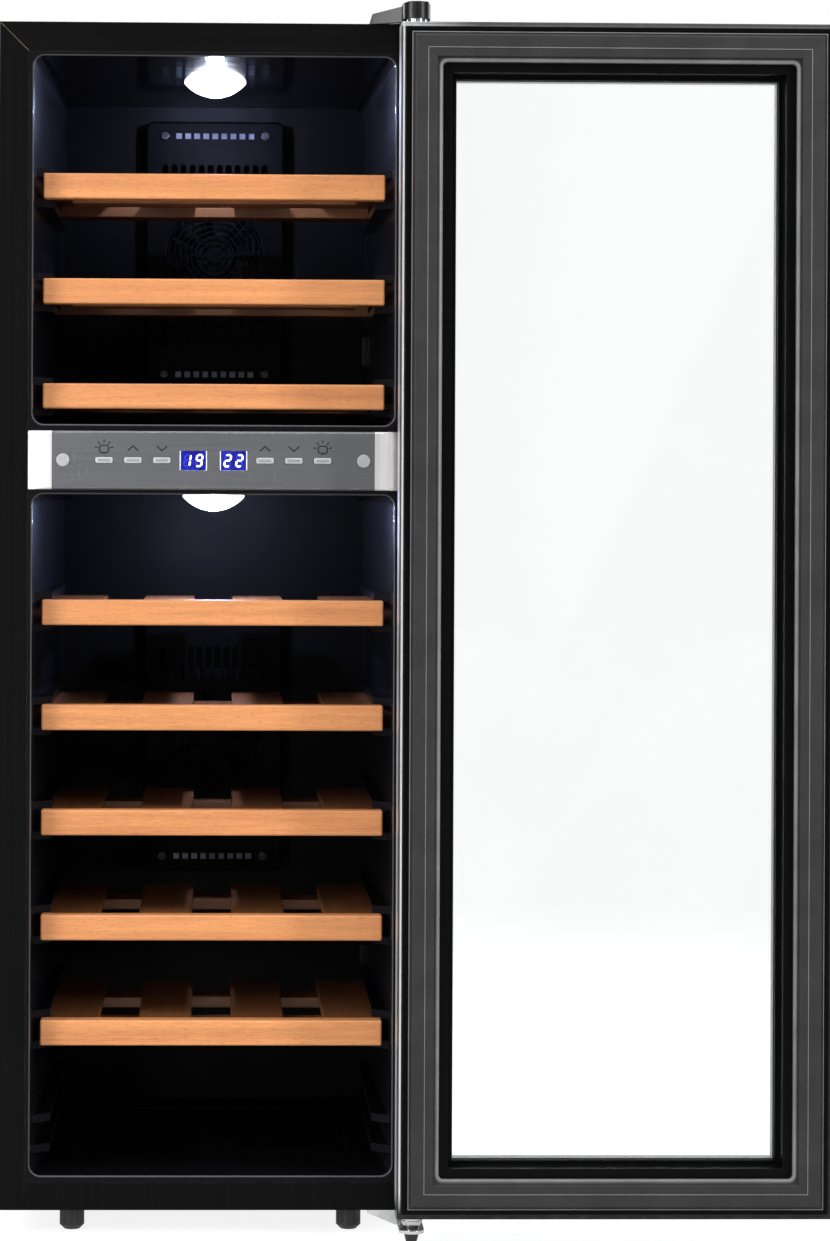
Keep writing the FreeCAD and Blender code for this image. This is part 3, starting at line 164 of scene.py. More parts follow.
def makeDust():
    inputs = [("Amount", "NodeSocketFloat", 0.3)]
    tree, given, result = newGroup("settledDust", inputs, ["Mask"])
    upward = remap(tree, facingOf(tree)["Z"], 0.55, 1.0)
    place = objectPlace(tree)
    patches = remap(tree, noise(tree, place, 26.0, 6.0, 0.7), 0.35, 0.75)
    specks = remap(tree, noise(tree, place, 900.0, 2.0), 0.62, 0.72)
    cover = calc(tree, "MULTIPLY", upward, calc(tree, "ADD", calc(tree, "MULTIPLY", patches, 0.5), specks))
    tree.links.new(calc(tree, "MULTIPLY", cover, given["Amount"]), result["Mask"])
    return tree


def makeHandling():
    inputs = [("Scale", "NodeSocketFloat", 14.0)]
    tree, given, result = newGroup("handlingMarks", inputs, ["Smear", "Scratches"])
    place = objectPlace(tree)
    smear = noise(tree, place, given["Scale"], 6.0, 0.62)
    hair = noise(tree, stretched(tree, place, (900.0, 40.0, 55.0)), 1.0, 2.0)
    gate = remap(tree, noise(tree, place, 21.0, 2.0), 0.52, 0.66)
    tree.links.new(remap(tree, smear, 0.32, 0.68), result["Smear"])
    tree.links.new(calc(tree, "MULTIPLY", remap(tree, hair, 0.66, 0.74), gate), result["Scratches"])
    return tree


brushLines = makeBrushLines()
mouldGrain = makeMouldGrain()
edgeWear = makeEdgeWear()
settledDust = makeDust()
handlingMarks = makeHandling()
print("shared effects:", len(bpy.data.node_groups))


# Materials
def startMaterial(name, **sockets):
    material = bpy.data.materials.new(name)
    material.use_nodes = True
    shader = material.node_tree.nodes["Principled BSDF"]
    for label, value in sockets.items():
        shader.inputs[label.replace("_", " ")].default_value = value
    return material, material.node_tree, shader


def feed(tree, shader, **sources):
    for label, source in sources.items():
        tree.links.new(source, shader.inputs[label.replace("_", " ")])


def bumped(tree, height, strength, distance, normal=None):
    inputs = {"Height": height, "Strength": strength, "Distance": distance}
    if normal is not None:
        inputs["Normal"] = normal
    return put(tree, "ShaderNodeBump", inputs).outputs["Normal"]


# One recipe for moulded plastic and rubber: look = name, dark, light, wear colours, roughness range, grain
def makeMoulded(look):
    material, tree, shader = startMaterial(look["name"], **look.get("sockets", {}))
    grain = useGroup(tree, mouldGrain, Size=look["grain"])
    worn = useGroup(tree, edgeWear, Radius=look["edge"], Breakup=170.0)
    marks = useGroup(tree, handlingMarks, Scale=15.0)
    dust = useGroup(tree, settledDust, Amount=look["dust"])
    color = blendColor(tree, grain["Mottle"], look["dark"], look["light"])
    color = blendColor(tree, calc(tree, "MULTIPLY", worn["Mask"], look["wearAmount"]), color, look["wear"])
    color = blendColor(tree, dust["Mask"], color, (0.30, 0.29, 0.27, 1))
    low, high = look["roughness"]
    roughness = remap(tree, marks["Smear"], 0.0, 1.0, low, high)
    roughness = calc(tree, "ADD", roughness, calc(tree, "MULTIPLY", dust["Mask"], 0.3))
    normal = bumped(tree, grain["Height"], look["bump"], 0.00006, worn["Normal"])
    feed(tree, shader, Base_Color=color, Roughness=roughness, Normal=normal)
    return material


plastics = {
    "cover_plastic": {"name": "coverPlastic", "dark": (0.0012, 0.0012, 0.0018, 1),
                      "light": (0.0022, 0.0022, 0.0032, 1),
                      "wear": (0.02, 0.02, 0.025, 1), "wearAmount": 0.6, "roughness": (0.42, 0.55),
                      "grain": 1500.0, "edge": 0.0008, "dust": 0.0, "bump": 0.12,
                      "sockets": {"Specular IOR Level": 0.06}},
    "filter_mesh": {"name": "filterMesh", "dark": (0.20, 0.22, 0.30, 1), "light": (0.46, 0.50, 0.62, 1),
                    "wear": (0.5, 0.5, 0.6, 1), "wearAmount": 0.2, "roughness": (0.5, 0.7),
                    "grain": 1100.0, "edge": 0.0003, "dust": 0.1, "bump": 0.6},
    "fan_plastic": {"name": "fanPlastic", "dark": (0.002, 0.002, 0.0025, 1),
                    "light": (0.004, 0.004, 0.005, 1),
                    "wear": (0.015, 0.015, 0.015, 1), "wearAmount": 0.3, "roughness": (0.4, 0.55),
                    "grain": 1800.0, "edge": 0.0004, "dust": 0.02, "bump": 0.2,
                    "sockets": {"Specular IOR Level": 0.1}},
    "black_plastic": {"name": "blackPlastic", "dark": (0.003, 0.003, 0.0035, 1),
                      "light": (0.006, 0.006, 0.0065, 1),
                      "wear": (0.05, 0.05, 0.05, 1), "wearAmount": 0.5, "roughness": (0.24, 0.38),
                      "grain": 2200.0, "edge": 0.0006, "dust": 0.05, "bump": 0.2,
                      "sockets": {"Specular IOR Level": 0.3}},
    "foot_plastic": {"name": "footPlastic", "dark": (0.006, 0.006, 0.006, 1),
                     "light": (0.013, 0.013, 0.013, 1),
                     "wear": (0.09, 0.09, 0.09, 1), "wearAmount": 0.8, "roughness": (0.34, 0.5),
                     "grain": 2400.0, "edge": 0.0005, "dust": 0.2, "bump": 0.3},
    "frame_plastic": {"name": "doorFramePlastic", "dark": (0.0007, 0.0007, 0.0008, 1),
                      "light": (0.0012, 0.0012, 0.0013, 1),
                      "wear": (0.01, 0.01, 0.01, 1), "wearAmount": 0.25, "roughness": (0.3, 0.42),
                      "grain": 2600.0, "edge": 0.0008, "dust": 0.02, "bump": 0.15,
                      "sockets": {"Specular IOR Level": 0.08}},
    "gasket_rubber": {"name": "gasketRubber", "dark": (0.021, 0.021, 0.0215, 1),
                      "light": (0.031, 0.031, 0.0315, 1),
                      "wear": (0.06, 0.06, 0.06, 1), "wearAmount": 0.3, "roughness": (0.45, 0.6),
                      "grain": 3000.0, "edge": 0.0003, "dust": 0.03, "bump": 0.2,
                      "sockets": {"Specular IOR Level": 0.2}},
    # pale faces on the gasket's fin, ridge and lip: painted highlight
    "gasket_lip": {"name": "gasketLipHighlight", "dark": (0.13, 0.13, 0.133, 1), "light": (0.19, 0.19, 0.194, 1),
                   "wear": (0.3, 0.3, 0.3, 1), "wearAmount": 0.4, "roughness": (0.32, 0.45),
                   "grain": 2600.0, "edge": 0.0003, "dust": 0.03, "bump": 0.15},
    "bush_nylon": {"name": "bushNylon", "dark": (0.55, 0.54, 0.49, 1), "light": (0.68, 0.67, 0.62, 1),
                   "wear": (0.75, 0.74, 0.70, 1), "wearAmount": 0.3, "roughness": (0.35, 0.5),
                   "grain": 2000.0, "edge": 0.0004, "dust": 0.1, "bump": 0.2},
    "electronics": {"name": "displayHousing", "dark": (0.012, 0.012, 0.014, 1),
                    "light": (0.03, 0.03, 0.034, 1),
                    "wear": (0.08, 0.08, 0.08, 1), "wearAmount": 0.3, "roughness": (0.3, 0.5),
                    "grain": 2000.0, "edge": 0.0003, "dust": 0.1, "bump": 0.2},
    "circuit_board": {"name": "circuitBoard", "dark": (0.008, 0.075, 0.03, 1),
                      "light": (0.02, 0.14, 0.06, 1),
                      "wear": (0.45, 0.33, 0.12, 1), "wearAmount": 0.6, "roughness": (0.28, 0.42),
                      "grain": 900.0, "edge": 0.0003, "dust": 0.1, "bump": 0.3},
    "foam": {"name": "insulationFoam", "dark": (0.62, 0.52, 0.30, 1), "light": (0.80, 0.72, 0.48, 1),
             "wear": (0.86, 0.80, 0.60, 1), "wearAmount": 0.4, "roughness": (0.8, 0.95),
             "grain": 420.0, "edge": 0.002, "dust": 0.2, "bump": 0.8},
    "module_ceramic": {"name": "moduleCeramic", "dark": (0.70, 0.70, 0.68, 1),
                       "light": (0.82, 0.82, 0.80, 1),
                       "wear": (0.6, 0.6, 0.58, 1), "wearAmount": 0.3, "roughness": (0.4, 0.6),
                       "grain": 1500.0, "edge": 0.0003, "dust": 0.1, "bump": 0.2},
}


linerLipHighlight = {"near": 0.0012, "far": 0.0019}  # depth of the painted highlight on the rounded edge behind the cabinet's front


def makeLinerPlastic():
    material, tree, shader = startMaterial("linerPlastic", Specular_IOR_Level=0.11, Coat_Roughness=0.24)
    grain = useGroup(tree, mouldGrain, Size=900.0)
    marks = useGroup(tree, handlingMarks, Scale=9.0)
    worn = useGroup(tree, edgeWear, Radius=0.0009, Breakup=60.0)
    place = objectPlace(tree)
    at, facing = partsOf(tree, place), facingOf(tree)
    onSide = remap(tree, calc(tree, "ABSOLUTE", facing["X"]), 0.6, 0.9)
    atFront = remap(tree, at["Y"], cabinetLow.y + linerLipHighlight["far"], cabinetLow.y + linerLipHighlight["near"])
    turned = remap(tree, calc(tree, "ABSOLUTE", facing["Y"]), 0.97, 0.8)
    lipHighlight = calc(tree, "MULTIPLY", atFront, turned)  # the rounded edge of the opening is painted lighter as a painted highlight
    color = blendColor(tree, grain["Mottle"], (0.0008, 0.0007, 0.0013, 1), (0.0014, 0.0012, 0.0024, 1))
    # the side walls are painted lighter and bluer as painted glow from the lamps
    color = blendColor(tree, onSide, color, (0.010, 0.011, 0.018, 1))
    color = blendColor(tree, calc(tree, "MULTIPLY", worn["Mask"], 0.3), color, (0.05, 0.05, 0.055, 1))
    color = blendColor(tree, lipHighlight, color, (0.075, 0.075, 0.08, 1))
    sag = noise(tree, place, 24.0, 2.0)  # the slow waves of a vacuum-formed sheet
    normal = bumped(tree, sag, 0.35, 0.0009, worn["Normal"])
    glossy = remap(tree, marks["Smear"], 0.0, 1.0, 0.14, 0.26)
    dull = remap(tree, marks["Smear"], 0.0, 1.0, 0.42, 0.52)
    overhead = remap(tree, facing["Z"], -0.85, -0.95, 1.0, 0.22)  # the ceiling stays nearly mirror smooth
    roughness = calc(tree, "MULTIPLY", choose(tree, onSide, dull, glossy), overhead)
    levelCoat = remap(tree, calc(tree, "ABSOLUTE", facing["Z"]), 0.85, 0.95, 0.0, 0.3)
    coat = calc(tree, "MAXIMUM", calc(tree, "MULTIPLY", onSide, 0.95), levelCoat)
    feed(tree, shader, Base_Color=color, Roughness=roughness, Coat_Weight=coat,
         Normal=bumped(tree, grain["Height"], 0.06, 0.00005, normal))
    return material


def makeBlackSteel():
    material, tree, shader = startMaterial("blackSteel", Specular_IOR_Level=0.07)
    place = objectPlace(tree)
    at = partsOf(tree, place)
    fromSide = calc(tree, "SUBTRACT", cabinetHigh.x, calc(tree, "ABSOLUTE", at["X"]))
    fromTop = calc(tree, "SUBTRACT", cabinetHigh.z, at["Z"])
    onSide = calc(tree, "LESS_THAN", fromSide, fromTop)  # the two brushing directions meet in a mitre
    upright = useGroup(tree, brushLines, Stretch=(1500.0, 1500.0, 9.0), Sharpness=0.6)
    level = useGroup(tree, brushLines, Stretch=(9.0, 1500.0, 1500.0), Sharpness=0.6)
    lines = blendColor(tree, onSide, level["Lines"], upright["Lines"])
    worn = useGroup(tree, edgeWear, Radius=0.0007, Breakup=120.0)
    marks = useGroup(tree, handlingMarks, Scale=7.0)
    dust = useGroup(tree, settledDust, Amount=0.05)
    color = blendColor(tree, lines, (0.0004, 0.0004, 0.0005, 1), (0.0032, 0.0032, 0.0035, 1))
    color = blendColor(tree, calc(tree, "MULTIPLY", worn["Mask"], 0.35), color, (0.09, 0.09, 0.09, 1))
    color = blendColor(tree, calc(tree, "MULTIPLY", marks["Scratches"], 0.15), color, (0.05, 0.05, 0.05, 1))
    color = blendColor(tree, dust["Mask"], color, (0.25, 0.24, 0.23, 1))
    roughness = calc(tree, "ADD", remap(tree, marks["Smear"], 0.0, 1.0, 0.36, 0.46),
                     calc(tree, "MULTIPLY", lines, 0.08))
    feed(tree, shader, Base_Color=color, Roughness=roughness,
         Normal=bumped(tree, lines, 0.25, 0.00004, worn["Normal"]))
    return material


# Bare or plated metal: look = name, dark, light, stretch of the brushing, roughness range, bump
def makeMetal(look):
    material, tree, shader = startMaterial(look["name"], Metallic=look.get("metallic", 1.0))
    brushed = useGroup(tree, brushLines, Stretch=look["stretch"], Sharpness=look["sharpness"])
    worn = useGroup(tree, edgeWear, Radius=look["edge"], Breakup=200.0)
    marks = useGroup(tree, handlingMarks, Scale=18.0)
    color = blendColor(tree, brushed["Lines"], look["dark"], look["light"])
    color = blendColor(tree, calc(tree, "MULTIPLY", marks["Smear"], 0.25), color, look["dark"])
    color = blendColor(tree, calc(tree, "MULTIPLY", worn["Mask"], look.get("wearAmount", 0.5)), color,
                       (0.9, 0.9, 0.9, 1))
    low, high = look["roughness"]
    roughness = calc(tree, "ADD", remap(tree, brushed["Lines"], 0.0, 1.0, low, high),
                     calc(tree, "MULTIPLY", marks["Scratches"], 0.12))
    feed(tree, shader, Base_Color=color, Roughness=roughness,
         Normal=bumped(tree, brushed["Lines"], look["bump"], 0.00004, worn["Normal"]))
    return material


metals = {
    "bright_metal": {"name": "capMetal", "dark": (0.38, 0.38, 0.39, 1), "light": (0.50, 0.50, 0.51, 1),
                     "stretch": (1500.0, 1500.0, 1500.0), "sharpness": 0.6, "roughness": (0.28, 0.4),
                     "edge": 0.0004, "bump": 0.2, "metallic": 0.3},
    "sink_aluminium": {"name": "sinkAluminium", "dark": (0.008, 0.008, 0.010, 1),  # black anodised
                       "light": (0.022, 0.022, 0.026, 1),
                       "stretch": (900.0, 900.0, 20.0), "sharpness": 0.6, "roughness": (0.3, 0.5),
                       "edge": 0.0003, "bump": 0.4, "wearAmount": 0.05},
    "supply_case": {"name": "supplyCase", "dark": (0.42, 0.43, 0.44, 1), "light": (0.62, 0.63, 0.64, 1),
                    "stretch": (30.0, 700.0, 700.0), "sharpness": 0.5, "roughness": (0.3, 0.48),
                    "edge": 0.0004, "bump": 0.3},
    "zinc_steel": {"name": "zincSteel", "dark": (0.40, 0.41, 0.42, 1), "light": (0.82, 0.82, 0.80, 1),
                   "stretch": (260.0, 260.0, 260.0), "sharpness": 0.3, "roughness": (0.10, 0.26),
                   "edge": 0.0006, "bump": 0.5},
    "pad_metal": {"name": "padMetal", "dark": (0.30, 0.30, 0.31, 1), "light": (0.44, 0.44, 0.45, 1),
                  "stretch": (60.0, 1900.0, 1900.0), "sharpness": 0.55, "roughness": (0.3, 0.42),
                  "edge": 0.0002, "bump": 0.2, "metallic": 0.5},
    "spacer_aluminium": {"name": "spacerAluminium", "dark": (0.34, 0.34, 0.35, 1),
                         "light": (0.46, 0.46, 0.47, 1),
                         "stretch": (800.0, 800.0, 800.0), "sharpness": 0.4, "roughness": (0.4, 0.55),
                         "edge": 0.0003, "bump": 0.4},
    "black_screw": {"name": "blackScrew", "dark": (0.02, 0.02, 0.022, 1), "light": (0.09, 0.09, 0.095, 1),
                    "stretch": (900.0, 900.0, 900.0), "sharpness": 0.5, "roughness": (0.16, 0.32),
                    "edge": 0.0004, "bump": 0.3},
}


# Partly the trim's bright metal edge, partly painted highlight beside the hinge: strong on the upright side
# and fading along the top, from its left, top and bottom edges
trimEdgeHighlight = {"wide": 0.0023, "grooveWide": 0.0010, "grooveDeep": 0.012, "topStart": 0.002, "topEnd": 0.06,
            "topTall": 0.003, "fade": 0.0003, "topFade": 0.001, "lowStart": 0.004, "lowEnd": 0.02}


def makeDoorTrim():
    trimLow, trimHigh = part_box("door_trim")
    material, tree, shader = startMaterial("doorTrim", Specular_IOR_Level=0.3)
    at = partsOf(tree, objectPlace(tree))
    brushed = useGroup(tree, brushLines, Stretch=(1300.0, 1300.0, 11.0), Sharpness=0.55)
    worn = useGroup(tree, edgeWear, Radius=0.0003, Breakup=90.0)
    marks = useGroup(tree, handlingMarks, Scale=12.0)
    edge = trimLow.x + trimEdgeHighlight["wide"]
    side = remap(tree, at["X"], edge, edge + trimEdgeHighlight["fade"], 1.0, 0.0)
    groove = calc(tree, "MULTIPLY", calc(tree, "LESS_THAN", at["X"], trimLow.x + trimEdgeHighlight["grooveWide"]),
                  calc(tree, "LESS_THAN", at["Y"], trimLow.y + trimEdgeHighlight["grooveDeep"]))
    side = calc(tree, "MULTIPLY", side, remap(tree, groove, 0.0, 1.0, 1.0, 0.06))
    topEdge = trimHigh.z - trimEdgeHighlight["topTall"]
    high = remap(tree, at["Z"], topEdge - trimEdgeHighlight["topFade"], topEdge)
    along = remap(tree, at["X"], trimLow.x + trimEdgeHighlight["topStart"], trimLow.x + trimEdgeHighlight["topEnd"], 0.6, 0.1)
    low = remap(tree, at["Z"], trimLow.z + trimEdgeHighlight["lowStart"], trimLow.z + trimEdgeHighlight["lowEnd"])
    # painted highlight: bright metal edge line, strong on the upright side and fading along the top
    edgeHighlight = calc(tree, "MULTIPLY", low, calc(tree, "MAXIMUM", side, calc(tree, "MULTIPLY", high, along)))
    dark = blendColor(tree, brushed["Lines"], (0.002, 0.002, 0.002, 1), (0.007, 0.007, 0.007, 1))
    bright = blendColor(tree, brushed["Lines"], (0.62, 0.62, 0.63, 1), (0.90, 0.90, 0.91, 1))
    color = blendColor(tree, edgeHighlight, dark, bright)
    color = blendColor(tree, calc(tree, "MULTIPLY", worn["Mask"], 0.5), color, (0.30, 0.30, 0.30, 1))
    roughness = calc(tree, "ADD", remap(tree, brushed["Lines"], 0.0, 1.0, 0.26, 0.4),
                     calc(tree, "MULTIPLY", marks["Scratches"], 0.1))
    feed(tree, shader, Base_Color=color, Roughness=roughness,
         Metallic=calc(tree, "MULTIPLY", edgeHighlight, 0.4),
         Normal=bumped(tree, brushed["Lines"], 0.2, 0.00003, worn["Normal"]))
    return material


panelSeam = {"pastCap": 0.0034, "half": 0.0003}


def makeBrushedPanel():
    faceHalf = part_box("bezel_caps")[1].x + panelSeam["pastCap"]  # the flat face gives way to a sloping end
    material, tree, shader = startMaterial("brushedPanel", Metallic=0.75)
    at = partsOf(tree, objectPlace(tree))
    fromMiddle = calc(tree, "ABSOLUTE", at["X"])
    onEnd = calc(tree, "GREATER_THAN", fromMiddle, faceHalf)
    seam = calc(tree, "LESS_THAN", distanceFrom(tree, fromMiddle, faceHalf), panelSeam["half"])
    level = useGroup(tree, brushLines, Stretch=(45.0, 2400.0, 2400.0), Sharpness=0.65)
    upright = useGroup(tree, brushLines, Stretch=(900.0, 900.0, 12.0), Sharpness=0.4)
    worn = useGroup(tree, edgeWear, Radius=0.0005, Breakup=300.0)
    marks = useGroup(tree, handlingMarks, Scale=20.0)
    face = blendColor(tree, level["Lines"], (0.125, 0.126, 0.136, 1), (0.165, 0.167, 0.176, 1))
    # the sloping ends are the same brushed steel painted near white with bands, as a painted reflection
    end = blendColor(tree, upright["Bands"], (0.68, 0.66, 0.66, 1), (0.84, 0.82, 0.82, 1))
    color = blendColor(tree, onEnd, face, end)
    # worn edges, also painted near white as a painted edge highlight
    color = blendColor(tree, calc(tree, "MULTIPLY", worn["Mask"], 0.8), color, (0.95, 0.95, 0.95, 1))
    color = blendColor(tree, calc(tree, "MULTIPLY", marks["Scratches"], 0.2), color, (0.6, 0.6, 0.6, 1))
    color = blendColor(tree, calc(tree, "MULTIPLY", seam, 0.75), color, (0.05, 0.05, 0.05, 1))
    roughness = calc(tree, "ADD", remap(tree, level["Lines"], 0.0, 1.0, 0.34, 0.44),
                     calc(tree, "MULTIPLY", marks["Smear"], 0.05))
    lines = blendColor(tree, onEnd, level["Lines"], upright["Lines"])
    feed(tree, shader, Base_Color=color, Roughness=roughness,
         Normal=bumped(tree, lines, 0.3, 0.00003, worn["Normal"]))
    return material


def makeButtonFinish():
    material, tree, shader = startMaterial("buttonFinish", Metallic=0.6)
    brushed = useGroup(tree, brushLines, Stretch=(60.0, 2600.0, 2600.0), Sharpness=0.6)
    worn = useGroup(tree, edgeWear, Radius=0.0004, Breakup=500.0)
    color = blendColor(tree, brushed["Lines"], (0.52, 0.52, 0.53, 1), (0.72, 0.72, 0.73, 1))
    color = blendColor(tree, worn["Mask"], color, (0.95, 0.95, 0.95, 1))
    feed(tree, shader, Base_Color=color, Roughness=remap(tree, brushed["Lines"], 0.0, 1.0, 0.24, 0.38),
         Normal=bumped(tree, brushed["Lines"], 0.2, 0.00003, worn["Normal"]))
    return material


def makeDisplayGlow():
    material, tree, shader = startMaterial("displayGlow", Roughness=0.12, Emission_Strength=1.0)
    place = objectPlace(tree)
    cloud = remap(tree, noise(tree, place, 160.0, 2.0), 0.35, 0.65)
    mesh = put(tree, "ShaderNodeTexVoronoi", {"Vector": place, "Scale": 1600.0}).outputs["Distance"]
    blue = blendColor(tree, cloud, (0.003, 0.004, 0.10, 1), (0.012, 0.016, 0.30, 1))
    blue = blendColor(tree, calc(tree, "MULTIPLY", mesh, 0.25), blue, (0.0, 0.0, 0.05, 1))
    feed(tree, shader, Base_Color=blue, Emission_Color=blue)
    return material


def makeLitMark(name, first, second, strength):
    material, tree, shader = startMaterial(name, Roughness=0.3, Emission_Strength=strength)
    cloud = remap(tree, noise(tree, objectPlace(tree), 700.0, 2.0), 0.35, 0.65)
    lit = blendColor(tree, cloud, first, second)
    feed(tree, shader, Base_Color=lit, Emission_Color=lit)
    return material


def makePrint():
    material, tree, shader = startMaterial("panelPrint")
    grain = useGroup(tree, mouldGrain, Size=4000.0)
    color = blendColor(tree, grain["Mottle"], (0.0015, 0.0015, 0.002, 1), (0.004, 0.004, 0.005, 1))
    feed(tree, shader, Base_Color=color, Roughness=remap(tree, grain["Mottle"], 0.0, 1.0, 0.45, 0.6),
         Normal=bumped(tree, grain["Height"], 0.3, 0.00002))
    return material


def makeLampDiffuser():
    material, tree, shader = startMaterial("lampDiffuser", Roughness=0.25, Emission_Strength=4.0)
    grain = useGroup(tree, mouldGrain, Size=1400.0)
    pearl = remap(tree, grain["Mottle"], 0.0, 1.0, 0.75, 1.0)
    color = blendColor(tree, pearl, (0.62, 0.70, 1.0, 1), (0.92, 0.95, 1.0, 1))
    feed(tree, shader, Base_Color=color, Emission_Color=color,
         Normal=bumped(tree, grain["Height"], 0.4, 0.00008))
    return material


def makeDoorGlass():
    material, tree, shader = startMaterial("doorGlass", Transmission_Weight=1.0, IOR=1.47)
    marks = useGroup(tree, handlingMarks, Scale=6.0)
    dust = useGroup(tree, settledDust, Amount=0.4)
    color = blendColor(tree, marks["Smear"], (0.985, 0.99, 0.988, 1), (0.975, 0.983, 0.98, 1))
    color = blendColor(tree, dust["Mask"], color, (0.9, 0.9, 0.9, 1))
    roughness = calc(tree, "ADD", calc(tree, "MULTIPLY", marks["Smear"], 0.006),
                     calc(tree, "MULTIPLY", marks["Scratches"], 0.05))
    feed(tree, shader, Base_Color=color, Roughness=roughness)
    return material


# Beech: grain runs along each board, so the front board, slats and battens differ
beech = {
    "pale": (0.77, 0.328, 0.118, 1),
    "warm": (0.50, 0.182, 0.060, 1),
    "fleck": (0.30, 0.095, 0.028, 1),
    # edge: worn edges, also a painted highlight along the boards' top edges
    "edge": (0.86, 0.52, 0.28, 1),
    "inner": (0.13, 0.042, 0.011, 1),  # slats and battens behind the front board are painted darker as painted shade
    "boardDepth": 0.018,  # front board, front to back
    "slatPitch": 0.0757,
    "slatDrop": 0.0038,  # underside of the slats below the board's middle
    "halfBoard": 0.01025,  # half of the front board's height
    "seedStep": 3.7,  # moves the grain from one shelf to the next
}


def makeBeechGrain():
    inputs = [(label, "NodeSocketFloat", 0.0) for label in ("Middle", "Seed", "Front")]
    tree, given, result = newGroup("beechGrain", inputs, ["Streaks", "Flecks", "Board", "Inside"])
    at = partsOf(tree, objectPlace(tree))
    behind = calc(tree, "GREATER_THAN", at["Y"], given["Front"])
    above = calc(tree, "GREATER_THAN", at["Z"], given["Middle"])
    isSlat = calc(tree, "MULTIPLY", behind, above)
    along = choose(tree, isSlat, at["X"], at["Y"])
    across = choose(tree, isSlat, at["Y"], at["X"])
    slatNumber = calc(tree, "FLOOR", calc(tree, "DIVIDE", at["X"], beech["slatPitch"]))
    seed = calc(tree, "ADD", calc(tree, "MULTIPLY", given["Seed"], beech["seedStep"]),
                calc(tree, "MULTIPLY", isSlat, slatNumber))
    place = {0: along, 1: calc(tree, "ADD", across, seed), 2: at["Z"]}
    place = put(tree, "ShaderNodeCombineXYZ", place).outputs[0]
    long = noise(tree, stretched(tree, place, (5.0, 130.0, 130.0)), 1.0, 5.0, 0.6)
    fine = noise(tree, stretched(tree, place, (60.0, 900.0, 900.0)), 1.0, 3.0, 0.6)
    streaks = calc(tree, "ADD", calc(tree, "MULTIPLY", long, 0.65), calc(tree, "MULTIPLY", fine, 0.35))
    flecks = noise(tree, stretched(tree, place, (170.0, 1500.0, 1500.0)), 1.0, 2.0, 0.5)
    tree.links.new(remap(tree, streaks, 0.36, 0.64), result["Streaks"])
    tree.links.new(remap(tree, flecks, 0.57, 0.70), result["Flecks"])
    whole = noise(tree, stretched(tree, place, (1.2, 6.0, 6.0)), 1.0, 2.0)
    tree.links.new(remap(tree, whole, 0.35, 0.65), result["Board"])
    tree.links.new(behind, result["Inside"])
    return tree


beechGrain = makeBeechGrain()


def makeBeech(number, name):
    low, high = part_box(name)
    middle = high.z - beech["halfBoard"]
    material, tree, shader = startMaterial("beech%d" % number, Coat_Weight=0.12, Coat_Roughness=0.35)
    grain = useGroup(tree, beechGrain, Middle=middle - beech["slatDrop"] + 0.0004, Seed=float(number),
                     Front=low.y + beech["boardDepth"] + 0.0002)
    worn = useGroup(tree, edgeWear, Radius=0.0012, Breakup=90.0)
    dust = useGroup(tree, settledDust, Amount=0.05)
    color = blendColor(tree, grain["Streaks"], beech["warm"], beech["pale"])
    color = blendColor(tree, calc(tree, "MULTIPLY", grain["Board"], 0.3), color, (0.62, 0.24, 0.08, 1))
    color = blendColor(tree, calc(tree, "MULTIPLY", grain["Flecks"], 0.5), color, beech["fleck"])
    # worn edges, also painted lighter along the boards' top edges as a painted highlight
    color = blendColor(tree, calc(tree, "MULTIPLY", worn["Mask"], 0.5), color, beech["edge"])
    # painted shade on the slats and battens behind the front board
    color = blendColor(tree, calc(tree, "MULTIPLY", grain["Inside"], 0.74), color, beech["inner"])
    color = blendColor(tree, dust["Mask"], color, (0.6, 0.55, 0.5, 1))
    roughness = remap(tree, grain["Streaks"], 0.0, 1.0, 0.52, 0.40)
    height = calc(tree, "SUBTRACT", grain["Streaks"], grain["Flecks"])
    feed(tree, shader, Base_Color=color, Roughness=roughness,
         Normal=bumped(tree, height, 0.35, 0.00010, worn["Normal"]))
    return material


materials = {slot: makeMoulded(look) for slot, look in plastics.items()}
materials.update({slot: makeMetal(look) for slot, look in metals.items()})
materials["liner_plastic"] = makeLinerPlastic()
materials["black_steel"] = makeBlackSteel()
materials["brushed_panel"] = makeBrushedPanel()
materials["bright_metal_plastic"] = makeButtonFinish()
materials["display"] = makeDisplayGlow()
materials["lamp_diffuser"] = makeLampDiffuser()
materials["door_glass"] = makeDoorGlass()
materials["trim_metal"] = makeDoorTrim()
digitLight = makeLitMark("digitLight", (0.86, 0.92, 1.0, 1), (1.0, 1.0, 1.0, 1), 1.6)
dimSegment = makeLitMark("dimSegment", (0.008, 0.010, 0.20, 1), (0.016, 0.024, 0.36, 1), 1.0)
rimGlow = makeLitMark("rimGlow", (0.35, 0.42, 1.0, 1), (0.85, 0.90, 1.0, 1), 0.9)
panelPrint = makePrint()

slotOf = {row["node"]: row["material_slot"] for row in frame["record"]["subparts"]}
for name, thing in frame["nodes"].items():
    finish = makeBeech(shelfNames.index(name) + 1, name) if name in shelfNames else materials[slotOf[name]]
    thing.data.materials.clear()
    thing.data.materials.append(finish)
print("materials:", len(bpy.data.materials))


# Mesh helpers
def finishMesh(bm, name, material, body, smoothAngle=None):
    bmesh.ops.recalc_face_normals(bm, faces=bm.faces[:])
    mesh = bpy.data.meshes.new(name)
    bm.to_mesh(mesh)
    bm.free()
    mesh.materials.append(material)
    piece = bpy.data.objects.new(name, mesh)
    bpy.context.scene.collection.objects.link(piece)
    if smoothAngle is not None:
        mesh.shade_smooth()
        mesh.set_sharp_from_angle(angle=math.radians(smoothAngle))
    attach(piece, body)
    return piece


def addPlate(bm, outline, front, back):  # a thin closed body from an outline of (x, z) points
    near = [bm.verts.new((x, front, z)) for x, z in outline]
    far = [bm.verts.new((x, back, z)) for x, z in outline]
    bm.faces.new(near)
    bm.faces.new(far[::-1])
    for i in range(len(outline)):
        j = (i + 1) % len(outline)
        bm.faces.new((near[i], far[i], far[j], near[j]))


